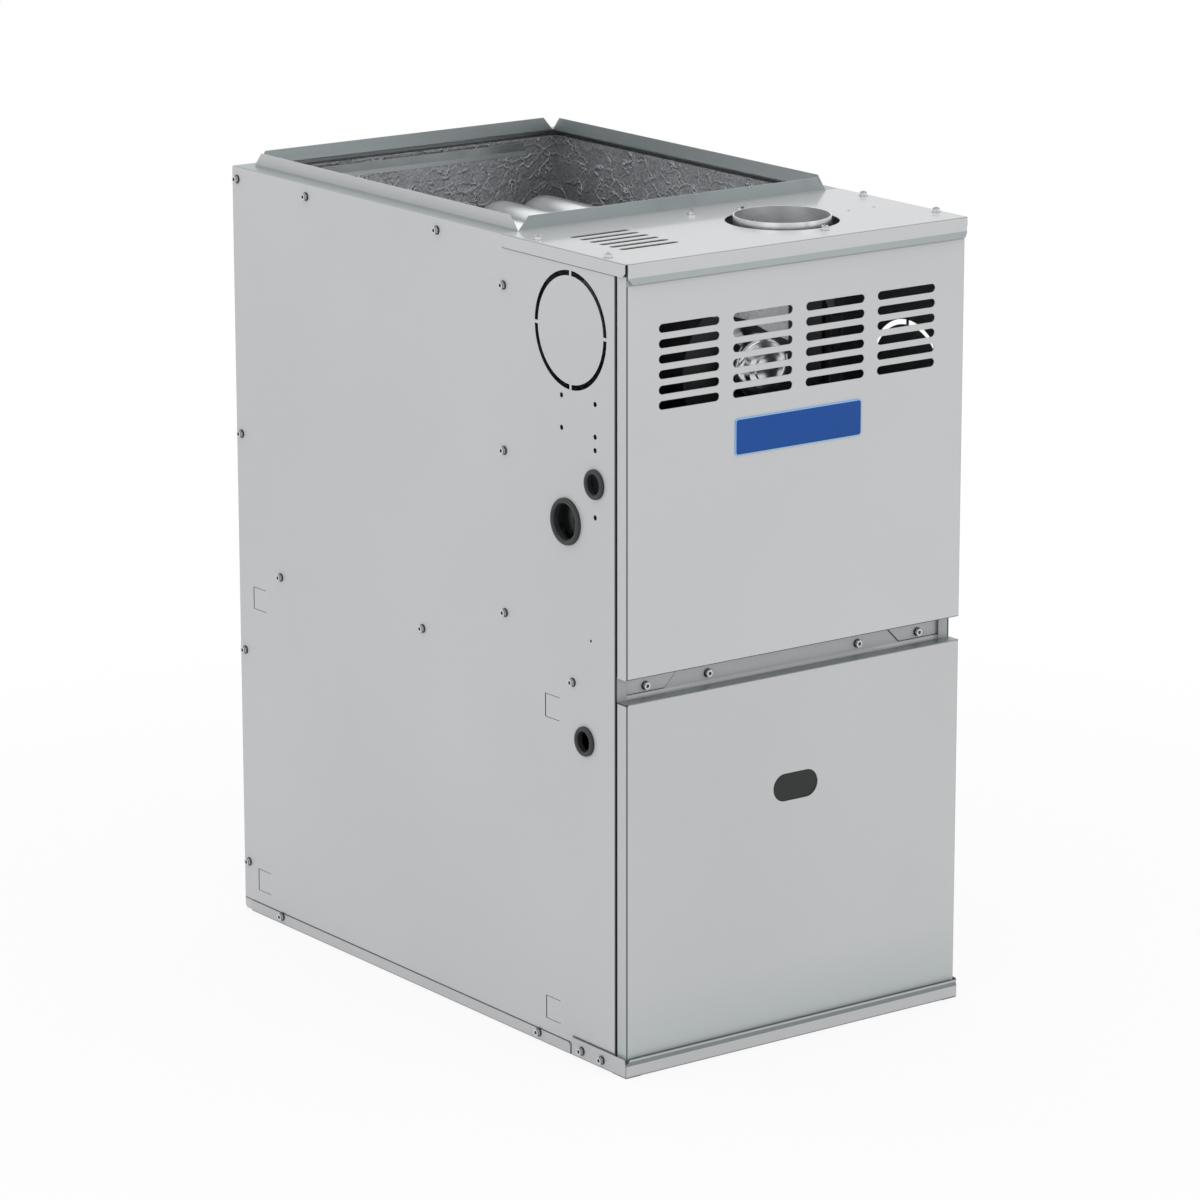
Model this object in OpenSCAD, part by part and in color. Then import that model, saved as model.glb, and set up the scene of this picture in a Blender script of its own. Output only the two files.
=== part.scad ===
/* [Cabinet] */
// Width over the side panels (a 17.5 inch casing)
cabinet_w = 444.5; // [440:0.5:470]
// Depth from the top plate's front flange to the back
cabinet_d = 727.2; // [720:0.1:760]
// Height of the casing without the duct flanges
cabinet_h = 857.1; // [850:0.1:900]
// Thickness of all cabinet sheet metal
sheet = 0.9; // [0.7:0.05:1.1]
// Outside radius of the sheet metal bends
bend_r = 1.8; // [1.4:0.1:2.4]
// Side panels' front edge behind the front face
panel_setback = 20.6; // [20:0.1:24]
// Width of the side panels' front return flange
return_flange_w = 15; // [12:0.5:20]
// Width of the ledge beside the supply opening
side_ledge_w = 19.25; // [16:0.25:24]
// Width of the ledge at the back
back_ledge_w = 16.1; // [14:0.1:20]
// Height of the duct flanges above the casing
duct_flange_h = 15; // [10:0.5:20]
// Length of the chamfer at each end of a duct flange
duct_flange_chamfer = 13; // [8:0.5:15]
// Depth of the top plate to the front duct flange
top_plate_d = 212.6; // [205:0.1:220]
// Height of the top plate's side flanges
top_flange_h = 14.1; // [10:0.1:20]
// Height of the flared lips at the top plate and the base rail
lip_h = 6.5; // [5:0.5:8]
// Outward flare of those lips
lip_out = 2.4; // [1.5:0.1:3]
// Clearance between pieces that are laid over each other
fit_gap = 0.25; // [0.2:0.05:0.3]

/* [Top plate] */
// Diameter of the hole round the flue collar
flue_hole_dia = 120; // [112:1:130]
// Flue centre right of the middle
flue_x = 55; // [48:1:58]
// Flue centre behind the front face
flue_depth = 101.6; // [95:0.1:110]
// Number of vent slots in the top plate
top_slot_count = 6; // [3:1:7]
// Length of a top vent slot
top_slot_l = 74; // [50:1:80]
// Width of a top vent slot
top_slot_w = 8; // [5:0.5:10]
// Pitch of the top vent slots
top_slot_pitch = 16.8; // [14:0.1:18]
// First top vent slot behind the front face
top_slot_depth = 69; // [60:0.5:75]
// Top vent slots' centre left of the middle
top_slot_x = 143; // [120:1:150]

/* [Doors] */
// Gap between the doors' edges and the casing's outer face
door_side_gap = 1.75; // [1.75:0.05:5]
// Depth of the doors' flanges
door_flange = 16; // [12:0.5:16.5]
// Setback of the doors behind the front face
door_setback = 2.6; // [2.3:0.1:3]
// Upper door's lower edge above the blower deck
upper_door_rise = 12.1; // [11:0.1:20]
// Lower door's upper edge below the blower deck
lower_door_drop = 13.3; // [12:0.1:20]
// Length of a louver slot
louver_l = 77; // [60:1:85]
// Height of a louver slot
louver_h = 9.2; // [6:0.1:11]
// Pitch of the louver columns
louver_pitch_x = 94.6; // [90:0.1:105]
// Pitch of the louver rows
louver_pitch_z = 15.83; // [13:0.01:18]
// Rows of louvers
louver_rows = 6; // [3:1:8]
// Height of the top louver row below the casing's top
louver_drop = 69.5; // [60:0.5:80]
// Width of the plain plate on the upper door
plate_w = 166; // [120:1:200]
// Height of that plate
plate_h = 39; // [25:1:45]
// Plate's centre below the casing's top
plate_drop = 195.7; // [185:0.1:220]
// Width of the oval window
window_w = 59; // [40:1:80]
// Height of the oval window
window_h = 30; // [20:1:40]
// Window's centre below the lower door's upper edge
window_drop = 123; // [100:0.1:150]

/* [Side panels] */
// Ring knock-out for the side vent: outside diameter
ring_dia = 123.5; // [110:0.5:130]
// Width of the ring's slot
ring_slot_w = 5.5; // [3:0.5:8]
// Width of the ring's four bridges
ring_bridge_w = 3.5; // [2:0.5:5]
// Depth of the ring's centre behind the front face
ring_depth = 96.1; // [90:0.1:110]
// Left ring's centre below the casing's top
ring_drop = 82.3; // [78:0.1:96]
// Right ring's centre below the casing's top
ring_drop_right = 186.6; // [170:0.1:200]
// Side of the square marks for the side return opening
mark_side = 25.5; // [20:0.5:30]
// Depth of the front marks' front edge behind the front face
mark_depth_front = 116.6; // [110:0.1:130]
// Depth of the rear marks' front edge behind the front face
mark_depth_rear = 673.5; // [640:0.1:680]
// Height of the lower marks' lower edge
mark_z_low = 28.5; // [25:0.5:40]
// Upper marks' lower edge below the blower deck
mark_drop = 55.3; // [50:0.1:80]
// Gas inlet above the blower deck
gas_rise = 160.4; // [156:0.1:164]
// Depth of the gas inlet behind the front face
gas_depth = 103.3; // [100:0.1:106]
// Inside diameter of the gas pipe grommet
gas_grommet_bore = 38; // [34:0.5:40]
// Outside diameter of the gas pipe grommet
gas_grommet_dia = 49.5; // [46:0.5:54]
// Inside diameter of the wire grommets
wire_grommet_bore = 21; // [16:0.5:22]
// Outside diameter of the wire grommets
wire_grommet_dia = 31.5; // [29:0.5:34]
// Line voltage grommet above the blower deck
line_rise = 208.4; // [204:0.1:214]
// Depth of the line voltage grommet behind the front face
line_depth = 54.1; // [50:0.1:60]
// Low voltage grommet below the blower deck
low_drop = 66.5; // [50:0.1:80]
// Depth of the low voltage grommet behind the front face
low_depth = 71.5; // [60:0.1:80]

/* [Controls] */
// Width of the control bracket
control_w = 260; // [240:1:280]
// Depth of the control bracket behind the front face
control_depth = 78.6; // [76:0.1:82]
// Lower edge of the control bracket below the window's middle
control_drop = 107.6; // [104:0.1:110]
// Upper stand-off holes above that edge
control_hole_rise = 90; // [80:1:95]

/* [Base] */
// Height of the side base rails
rail_h = 13; // [10:0.5:16]
// Height of the straight part of the front base rail
front_rail_h = 14.5; // [12:0.5:16]
// Length of the front rail's side wings
wing_l = 95.2; // [80:0.1:98]
// Gap between the wings and the side rails
wing_gap = 3; // [2:0.5:5]
// Distance of the side rails' rear end from the back
rail_end = 14.8; // [10:0.1:25]
// Width of the rails' bottom legs
rail_leg = 20; // [15:0.5:25]

/* [Blower compartment] */
// Height of the upper compartment, from the blower deck to the top
upper_h = 443.2; // [440:0.1:446]
// Height of the deck's side flanges
deck_flange = 15.9; // [12:0.1:18]
// Blower wheel diameter
wheel_dia = 254; // [240:1:260]
// Blower wheel width
wheel_w = 203; // [180:1:210]
// Number of blades on the blower wheel
blade_count = 40; // [24:1:44]
// Radial length of the blades
blade_ring = 21; // [16:0.5:25]
// Outside width of the blower housing
blower_w = 250; // [236:1:256]
// Sheet thickness of the blower housing and the blades
blower_sheet = 1; // [0.8:0.1:1.2]
// Radius of the scroll at its cutoff
scroll_r0 = 137; // [135:1:142]
// Radius of the scroll where it turns straight
scroll_r1 = 205; // [190:1:210]
// Depth of the blower shaft behind the front face
blower_depth = 463.6; // [450:0.1:480]
// Height of the blower shaft
blower_z = 192; // [188:0.5:196]
// Radius of the blower inlets
inlet_r = 98; // [90:1:101]
// Radius of the rounded inlet lips
inlet_lip = 10; // [6:0.5:11]
// Blower motor diameter
motor_dia = 140; // [120:1:150]
// Blower motor length
motor_l = 100; // [85:1:105]
// Blower shaft diameter
shaft_dia = 12.7; // [10:0.1:14]

/* [Heat exchanger] */
// Outside diameter of the tubes
tube_dia = 44.5; // [38:0.5:46]
// Wall of the tubes
tube_wall = 1.2; // [0.9:0.1:1.5]
// Number of tubes
tube_count = 6; // [4:1:6]
// Axis of the outer tubes from the casing's inner face
tube_side = 71.35; // [68:0.05:75]
// Axis of the top passes below the casing's top
tube_drop = 84.6; // [78:0.1:90]
// Bend radius of the upper return bends
tube_bend_top = 33; // [30:0.5:36]
// Bend radius of the lower return bends
tube_bend_low = 51.6; // [48:0.1:52]
// Clearance between the rear bends and the back liner
tube_rear_gap = 11.5; // [8:0.5:25]
// Depth of the front bend centres behind the vestibule panel
tube_front_depth = 78.4; // [76.5:0.1:98]
// Depth of the vestibule panel behind the front face
vestibule_depth = 221.6; // [218:0.1:226]
// Thickness of the foil-faced liners
liner_t = 12; // [8:0.5:13]

/* [Burners and vent] */
// Height of the burner box
burner_box_h = 60; // [54:1:64]
// Depth of the burner box
burner_box_d = 33; // [28:0.5:36]
// Gas manifold pipe diameter
manifold_dia = 26.7; // [21:0.1:28]
// Depth of the collector box
collector_d = 48; // [42:0.5:52]
// Inducer wheel diameter
inducer_wheel_dia = 116; // [104:1:118]
// Inducer shaft left of the middle
inducer_x = 24; // [20:0.5:28]
// Inducer shaft below the casing's top
inducer_drop = 135.1; // [133.5:0.1:140]
// Depth of the inducer housing
inducer_w = 78; // [70:1:80]
// Length of the inducer motor in front of its housing
inducer_motor_l = 38; // [34:0.5:44]
// Width of the inducer's outlet neck
neck_w = 45; // [38:0.5:52]
// Top of the outlet neck below the casing's top
neck_drop = 60; // [55:1:62]
// Outside diameter of the flue collar (a 4 inch vent)
collar_dia = 103; // [100:0.5:106]
// Wall of the flue collar
collar_wall = 1.2; // [0.8:0.1:2]
// Height of the flue collar's rim above the top plate
collar_rise = 6; // [4:0.5:12]

/* [Fasteners] */
// Diameter of the sheet metal screws
screw_dia = 3.8; // [3:0.1:4.2]
// Width across the flats of the screw heads
screw_af = 7; // [6:0.5:8]
// Height of the screw heads with their washers
screw_head_h = 4.6; // [3:0.1:5.5]
// Diameter of the screws' washer faces
screw_washer = 9.6; // [8:0.1:11]
// Length of the screws under the head
screw_l = 9; // [6:0.5:10]

/* [Hidden] */
$fn = 48;

// overrun of cutters
over = 1;
// cabinet faces; the origin is midway between the flared lip and the back
side_x = cabinet_w / 2;
inner_x = side_x - sheet;
front_y = (lip_out - cabinet_d) / 2;
back_y = front_y + cabinet_d;
back_in_y = back_y - sheet;
top_in_z = cabinet_h - sheet;
deck_z = cabinet_h - upper_h;
gas_z = deck_z + gas_rise;
line_z = deck_z + line_rise;
low_z = deck_z - low_drop;
lower_door_top = deck_z - lower_door_drop;
window_z = lower_door_top - window_drop;
door_w = cabinet_w - 2 * door_side_gap;
duct_x = side_x - side_ledge_w;
duct_front_y = front_y + top_plate_d;
duct_back_y = back_y - back_ledge_w;
panel_y = front_y + panel_setback;
// rear edge of the top plate, start of the side ledges
plate_end_y = duct_front_y + sheet + 0.3;
ledge_y = plate_end_y + 0.2;
// laid-over flanges of the top plate and the base
cover_in_x = side_x + fit_gap;
cover_x = cover_in_x + sheet;
screw_hole_r = screw_dia / 2 + 0.15;

// turns a profile drawn in x and z into a bar along +y
module along_y(y, l) {
  translate([0, y + l, 0]) rotate([90, 0, 0]) linear_extrude(l) children();
}
// turns a profile drawn in y and z into a bar along +x
module along_x(x, l) {
  translate([x, 0, 0]) rotate([90, 0, 90]) linear_extrude(l) children();
}
// bent angle, its outer corner at 0
module angle_2d(a, b) {
  translate([bend_r, 0]) square([a - bend_r, sheet]);
  translate([0, bend_r]) square([sheet, b - bend_r]);
  intersection() {
    translate([bend_r, bend_r]) ring_2d(bend_r, bend_r - sheet);
    square(bend_r);
  }
}
// block with two rounded corners at y = 0
module block_2d(w, d, r) {
  translate([-w / 2 + r, 0]) square([w - 2 * r, d]);
  translate([-w / 2, r]) square([w, d - r]);
  for (s = [-1, 1]) translate([s * (w / 2 - r), r]) circle(r);
}
// slot with round ends, centred, its length along x
module slot_2d(l, w) {
  square([l - w, w], center = true);
  for (s = [-1, 1]) translate([s * (l - w) / 2, 0]) circle(d = w);
}
// rectangle with round corners
module plate_2d(w, h, r) {
  square([w - 2 * r, h], center = true);
  square([w, h - 2 * r], center = true);
  for (sx = [-1, 1], sy = [-1, 1]) translate([sx * (w / 2 - r), sy * (h / 2 - r)]) circle(r);
}
// cylinder along +x or +y
module rod_x(x, l, r) { translate([x, 0, 0]) rotate([0, 90, 0]) cylinder(l, r = r); }
module rod_y(y, l, r) { translate([0, y, 0]) rotate([-90, 0, 0]) cylinder(l, r = r); }
module ring_2d(r_out, r_in) {
  difference() {
    circle(r_out);
    circle(r_in);
  }
}
// hollow cylinder along +z
module ring(h, r_out, r_in) { linear_extrude(h) ring_2d(r_out, r_in); }
// hexagonal washer head screw, seated on z = 0, pointing down
module screw(l = screw_l) {
  washer_t = 0.9;
  difference() {
    union() {
      cylinder(washer_t, d = screw_washer);
      cylinder(screw_head_h, r = screw_af / 2 / cos(30), $fn = 6);
    }
    translate([0, 0, screw_head_h - 0.8]) cylinder(over, d = screw_af - 3);
  }
  translate([0, 0, -l]) cylinder(l, d = screw_dia);
}

// cutter for a screw through the side walls, and one through the top plate
module side_hole(s, d, z) {
  translate([s * inner_x, front_y + d, z]) rotate([0, 90, 0])
    cylinder(8 * sheet, r = screw_hole_r, center = true);
}
module top_hole(x, d) {
  translate([x, front_y + d, top_in_z - 2 * sheet]) cylinder(3 * sheet, r = screw_hole_r);
}

/* -------- screws in the cabinet -------- */
flange_mid = 9.6;
rear_screw_z = [57.5, 307, 556, cabinet_h - 14];
top_screw_depth = [332, 580.3];
vestibule_screw_z = [for (h = [41.3, 215.1, 389.5]) deck_z + h];
deck_screw_depth = [93, 365, 642.5];
rail_screw_depth = [153.8, 649.1];
wing_screw_depth = [41.8, 77];
rail_screw_z = 9.5;
top_side_screw_depth = [42.6, 163.1];
top_side_screw_x = side_x - 8.2;
top_mid_screw_depth = 184.6;
collar_screw_r = 70.7;
cross_screw_x = [side_x - 122.75, side_x - 41.55];
cross_screw_z = deck_z - 3;
rear_screw_depth = cabinet_d - flange_mid;
vestibule_screw_depth = vestibule_depth - 9;
// [depth, height] of the screws that hold a side panel
panel_screws = concat(
  [for (z = rear_screw_z) [rear_screw_depth, z]],
  [for (d = top_screw_depth) [d, cabinet_h - 14]],
  [for (z = vestibule_screw_z) [vestibule_screw_depth, z]],
  [for (d = deck_screw_depth) [d, deck_z - 8]]
);
rail_screws = [for (d = concat(rail_screw_depth, wing_screw_depth)) [d, rail_screw_z]];
// small open holes in the left panel: [depth, height above the deck, diameter]
panel_holes = [
  [111.6, 291.4, 5.5], [54, 291.4, 5.5], [111.6, 257.6, 5.5], [54, 257.6, 5.5],
  [54, 243.6, 5.5], [54, 173.6, 5.5], [61.6, 42.4, 3]
];

/* -------- side panels -------- */
// sheet groove radius of a grommet, which is the hole in the panel
function groove_r(dia, bore) = (dia + bore) / 4 + 0.5;
service_holes = [
  [gas_depth, gas_z, groove_r(gas_grommet_dia, gas_grommet_bore)],
  [line_depth, line_z, groove_r(wire_grommet_dia, wire_grommet_bore)],
  [low_depth, low_z, groove_r(wire_grommet_dia, wire_grommet_bore)]
];
// ring slot with four bridges, in depth and height
module ring_slot_2d(dia, w, bridge) {
  difference() {
    circle(d = dia);
    circle(d = dia - 2 * w);
    square([bridge, dia + 2], center = true);
    square([dia + 2, bridge], center = true);
  }
}
// square mark cut on three sides, wider at its rear edge
module mark_2d() {
  mark_cut = 0.6;
  mark_rear_cut = 1.5;
  square([mark_side, mark_cut]);
  translate([0, mark_side - mark_cut]) square([mark_side, mark_cut]);
  translate([mark_side - mark_rear_cut, 0]) square([mark_rear_cut, mark_side]);
}
// openings of a side panel, in depth and height
module panel_cuts_2d(open_services) {
  translate([ring_depth, cabinet_h - (open_services ? ring_drop : ring_drop_right)])
    ring_slot_2d(ring_dia, ring_slot_w, ring_bridge_w);
  if (open_services) for (h = panel_holes) translate([h[0], deck_z + h[1]]) circle(d = h[2]);
  for (p = concat(panel_screws, rail_screws)) translate(p) circle(screw_hole_r);
  for (d = [mark_depth_front, mark_depth_rear], z = [mark_z_low, deck_z - mark_drop])
    translate([d, z]) mark_2d();
  // the right panel keeps its gas and low voltage knock-outs closed
  if (open_services) for (h = service_holes) translate([h[0], h[1]]) circle(h[2]);
  else for (i = [0, 2]) translate([service_holes[i][0], service_holes[i][1]])
    ring_slot_2d(2 * service_holes[i][2], 0.5, 4);
}
// side ledge up to its mitred rear corner
module side_mitre() {
  translate([0, 0, -over]) linear_extrude(cabinet_h + duct_flange_h + 2 * over)
    polygon([[-side_x - over, front_y - over], [-duct_x + 5, front_y - over],
         [-duct_x + 5, duct_back_y - 5 * back_ledge_w / side_ledge_w],
         [-side_x - over, back_y + over * back_ledge_w / side_ledge_w]]);
}
// sloping end of a duct flange, in length and height
module flange_end_2d() {
  polygon([[-over, 0], [0, 0], [duct_flange_chamfer, duct_flange_h],
       [duct_flange_chamfer, duct_flange_h + over], [-over, duct_flange_h + over]]);
}
// ledge and upright duct flange along the left side
module side_duct_flange() {
  difference() {
    intersection() {
      union() {
        along_y(ledge_y, back_y - ledge_y) translate([-side_x, cabinet_h]) mirror([0, 1])
          angle_2d(side_ledge_w + sheet - bend_r, 2 * bend_r);
        along_y(ledge_y, duct_back_y - ledge_y)
          translate([-duct_x + sheet, top_in_z]) mirror([1, 0])
            angle_2d(2 * bend_r, duct_flange_h + sheet);
      }
      side_mitre();
    }
    along_x(-duct_x - over, sheet + 2 * over) translate([ledge_y, cabinet_h]) flange_end_2d();
    along_x(-duct_x - over, sheet + 2 * over)
      translate([duct_back_y, cabinet_h]) mirror([1, 0]) flange_end_2d();
  }
}
module side_panel(open_services) {
  flat_y = panel_y + bend_r;
  rear_r = 4;
  difference() {
    union() {
      // flat sheet with a rounded lower rear corner
      along_x(-side_x, sheet) difference() {
        union() {
          translate([flat_y, bend_r]) square([back_y - flat_y, top_in_z - 2 * bend_r]);
          translate([ledge_y, bend_r]) square([back_y - ledge_y, cabinet_h - 2 * bend_r]);
        }
        translate([back_y - rear_r, bend_r]) difference() {
          translate([0, -over]) square([rear_r + over, rear_r + over]);
          translate([0, rear_r]) circle(rear_r);
        }
      }
      // front return flange
      translate([-side_x, panel_y, bend_r]) linear_extrude(top_in_z - 2 * bend_r)
        angle_2d(return_flange_w, 2 * bend_r);
      // inward flange under the top plate
      along_y(panel_y + bend_r, duct_front_y - panel_y - bend_r - 1)
        translate([-side_x, top_in_z]) mirror([0, 1])
          angle_2d(side_ledge_w - 2, 2 * bend_r);
      side_duct_flange();
    }
    translate([0, front_y, 0]) along_x(-side_x - over, sheet + 2 * over)
      panel_cuts_2d(open_services);
    for (d = top_side_screw_depth) top_hole(-top_side_screw_x, d);
  }
}
module left_side_panel() { color("silver") side_panel(true); }
module right_side_panel() { color("silver") mirror([1, 0, 0]) side_panel(false); }

/* -------- back panel -------- */
module back_panel() {
  flange_d = 2 * flange_mid;
  duct_end_x = duct_x - sheet - fit_gap;
  color("silver") difference() {
    union() {
      // flat sheet
      translate([-inner_x + bend_r, back_in_y, bend_r])
        cube([2 * (inner_x - bend_r), sheet, cabinet_h - 2 * bend_r]);
      // side flanges along the side panels
      for (s = [0, 1]) mirror([s, 0, 0])
        translate([-inner_x, back_y, sheet]) mirror([0, 1, 0])
          linear_extrude(top_in_z - bend_r - sheet) angle_2d(2 * bend_r, flange_d);
      // bottom flange
      along_x(-duct_x + rail_leg, 2 * (duct_x - rail_leg))
        translate([back_y, 0]) mirror([1, 0]) angle_2d(flange_d, 2 * bend_r);
      // ledge and duct flange
      intersection() {
        union() {
          along_x(-side_x, cabinet_w) translate([back_y, cabinet_h]) mirror([1, 0])
            mirror([0, 1]) angle_2d(back_ledge_w + sheet - bend_r, bend_r + 0.1);
          difference() {
            along_x(-duct_end_x, 2 * duct_end_x)
              translate([duct_back_y - sheet, top_in_z])
                angle_2d(2 * bend_r, duct_flange_h + sheet);
            for (s = [0, 1]) mirror([s, 0, 0])
              along_y(duct_back_y - 3 * bend_r, 6 * bend_r)
                translate([-duct_end_x, cabinet_h]) flange_end_2d();
          }
        }
        back_mitre();
      }
    }
    for (s = [-1, 1], z = rear_screw_z) side_hole(s, rear_screw_depth, z);
  }
}
// region of the back ledge between its mitred corners
module back_mitre() {
  slack = 0.1;
  run = 6;
  translate([0, 0, -over]) linear_extrude(cabinet_h + duct_flange_h + 2 * over)
    polygon([for (p = [[-1, back_y + over, side_x + over * side_ledge_w / back_ledge_w],
              [-1, duct_back_y - run, duct_x - run * side_ledge_w / back_ledge_w],
              [1, duct_back_y - run, duct_x - run * side_ledge_w / back_ledge_w],
              [1, back_y + over, side_x + over * side_ledge_w / back_ledge_w]])
      [p[0] * (p[2] - slack), p[1]]]);
}

/* -------- top plate -------- */
// flared lip in depth and height
module lip_2d(up) {
  polygon([[0, 0], [sheet, 0], [sheet - lip_out, up * lip_h], [-lip_out, up * lip_h]]);
}
module top_plate() {
  corner_gap = 2;
  side_w = 2 * cover_x;
  flange_low = cabinet_h - top_flange_h;
  front_w = 2 * (side_x - corner_gap + 0.3);
  bend_start = duct_front_y + sheet - bend_r;
  color("gainsboro") difference() {
    union() {
      // plate and side flanges
      difference() {
        along_y(front_y + bend_r, plate_end_y - bend_r - front_y) difference() {
          translate([0, cabinet_h]) mirror([0, 1]) block_2d(side_w, top_flange_h, bend_r);
          translate([0, top_in_z]) mirror([0, 1])
            block_2d(side_w - 2 * sheet, top_flange_h, bend_r - sheet);
        }
        translate([-duct_x, bend_start, top_in_z - over])
          cube([2 * duct_x, 2 * bend_r, sheet + 2 * over]);
      }
      // front flange with its flared lip
      along_x(-front_w / 2, front_w) {
        translate([front_y, cabinet_h]) mirror([0, 1]) angle_2d(2 * bend_r, top_flange_h + 0.5);
        translate([front_y, flange_low - 0.5]) lip_2d(-1);
      }
      // front duct flange, bent up from the plate
      difference() {
        along_x(-duct_x + fit_gap, 2 * (duct_x - fit_gap))
          translate([duct_front_y + sheet, top_in_z]) mirror([1, 0])
            angle_2d(2 * bend_r, duct_flange_h + sheet);
        for (s = [0, 1]) mirror([s, 0, 0]) along_y(duct_front_y - 3 * bend_r, 6 * bend_r)
          translate([-duct_x + fit_gap, cabinet_h]) flange_end_2d();
      }
    }
    // lower corners of the side flanges
    for (s = [-1, 1]) {
      along_x(s * cover_x - 2 * over, 4 * over) {
        translate([front_y - over, flange_low - over]) square([door_setback + over, top_flange_h + 2 * over]);
        polygon([[front_y, flange_low - over], [front_y + 8, flange_low - over],
             [front_y + door_setback, flange_low + 4], [front_y, flange_low + 4]]);
        translate([plate_end_y - 4, flange_low]) difference() {
          translate([0, -over]) square([4 + over, 4 + over]);
          translate([0, 4]) circle(4);
        }
      }
      // chamfered ends of the lip
      along_y(front_y - lip_out - over, lip_out + 2 * over)
        polygon([[s * front_w / 2, flange_low - 2], [s * (front_w / 2 + over), flange_low - 2],
             [s * (front_w / 2 + over), flange_low - lip_h - 2],
             [s * (front_w / 2 - 5), flange_low - lip_h - 2]]);
    }
    top_cuts();
  }
}
module top_cuts() {
  translate([0, front_y, top_in_z - over]) linear_extrude(sheet + 2 * over) {
    translate([flue_x, flue_depth]) circle(d = flue_hole_dia);
    for (i = [0:top_slot_count - 1])
      translate([-top_slot_x, top_slot_depth + i * top_slot_pitch]) slot_2d(top_slot_l, top_slot_w);
    for (x = [side_x - 76.45, side_x - 42.45]) translate([x, flue_depth + 2.4]) circle(d = 4);
    for (p = top_screws) translate(p) circle(screw_hole_r);
  }
}
top_screws = concat(
  [for (s = [-1, 1], d = top_side_screw_depth) [s * top_side_screw_x, d]],
  [[0, top_mid_screw_depth]],
  [for (s = [-1, 1]) [flue_x, flue_depth + s * collar_screw_r]]
);

/* -------- base -------- */
module front_base_rail() {
  seam = 0.6;
  wing_out = 1.2;
  leg_d = 24;
  color("silver") difference() {
    union() {
      along_x(-cover_x + seam, 2 * (cover_x - seam)) {
        translate([front_y, 0]) angle_2d(leg_d, front_rail_h);
        translate([front_y, front_rail_h]) lip_2d(1);
      }
      for (s = [0, 1]) mirror([s, 0, 0]) {
        along_y(front_y + seam, wing_l - seam) {
          translate([-cover_x, 0]) angle_2d(rail_leg, front_rail_h);
          translate([-cover_x, front_rail_h])
            polygon([[0, 0], [sheet, 0], [sheet - wing_out, lip_h], [-wing_out, lip_h]]);
        }
      }
    }
    for (s = [-1, 1]) {
      // rounded ends of the wings' upper edge
      along_x(s * cover_x - 3 * over, 6 * over) {
        for (e = [[front_y + seam, 1], [front_y + wing_l, -1]])
          translate([e[0], front_rail_h + lip_h]) difference() {
            translate([-4, -4]) square([8, 4 + over]);
            translate([4 * e[1], -4]) circle(4);
            translate([e[1] > 0 ? 4 : -12, -4 - over]) square([8, 8]);
          }
      }
      // chamfered ends of the front lip
      along_y(front_y - lip_out - over, lip_out + sheet + 2 * over)
        polygon([[s * (cover_x + over), front_rail_h], [s * (cover_x - seam), front_rail_h],
             [s * (cover_x - 5), front_rail_h + lip_h + over],
             [s * (cover_x + over), front_rail_h + lip_h + over]]);
    }
    for (s = [-1, 1], d = wing_screw_depth) side_hole(s, d, rail_screw_z);
  }
}
module base_rail() {
  start = front_y + wing_l + wing_gap;
  end = back_y - rail_end;
  corner = 4;
  difference() {
    along_y(start, end - start) translate([-cover_x, 0]) angle_2d(rail_leg, rail_h);
    along_x(-cover_x - over, 3 * over) translate([start + corner, rail_h - corner]) difference() {
      translate([-corner - over, 0]) square([corner + over, corner + over]);
      circle(corner);
    }
    for (d = rail_screw_depth) side_hole(-1, d, rail_screw_z);
  }
}
module left_base_rail() { color("silver") base_rail(); }
module right_base_rail() { color("silver") mirror([1, 0, 0]) base_rail(); }
module bottom_panel() {
  // closure sheet on the rails' legs
  fold_h = 12;
  w = 2 * (inner_x - fit_gap);
  y0 = panel_y + 2;
  y1 = back_y - 2 * flange_mid - 1.5;
  color("silver") along_x(-w / 2, w) {
    translate([y0, sheet]) angle_2d(40, fold_h);
    translate([y1, sheet]) mirror([1, 0]) angle_2d(40, fold_h);
    translate([y0 + 30, sheet]) square([y1 - y0 - 60, sheet]);
  }
}

/* -------- inner panels -------- */
vest_y = front_y + vestibule_depth;
vest_back_y = vest_y + sheet;
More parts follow.
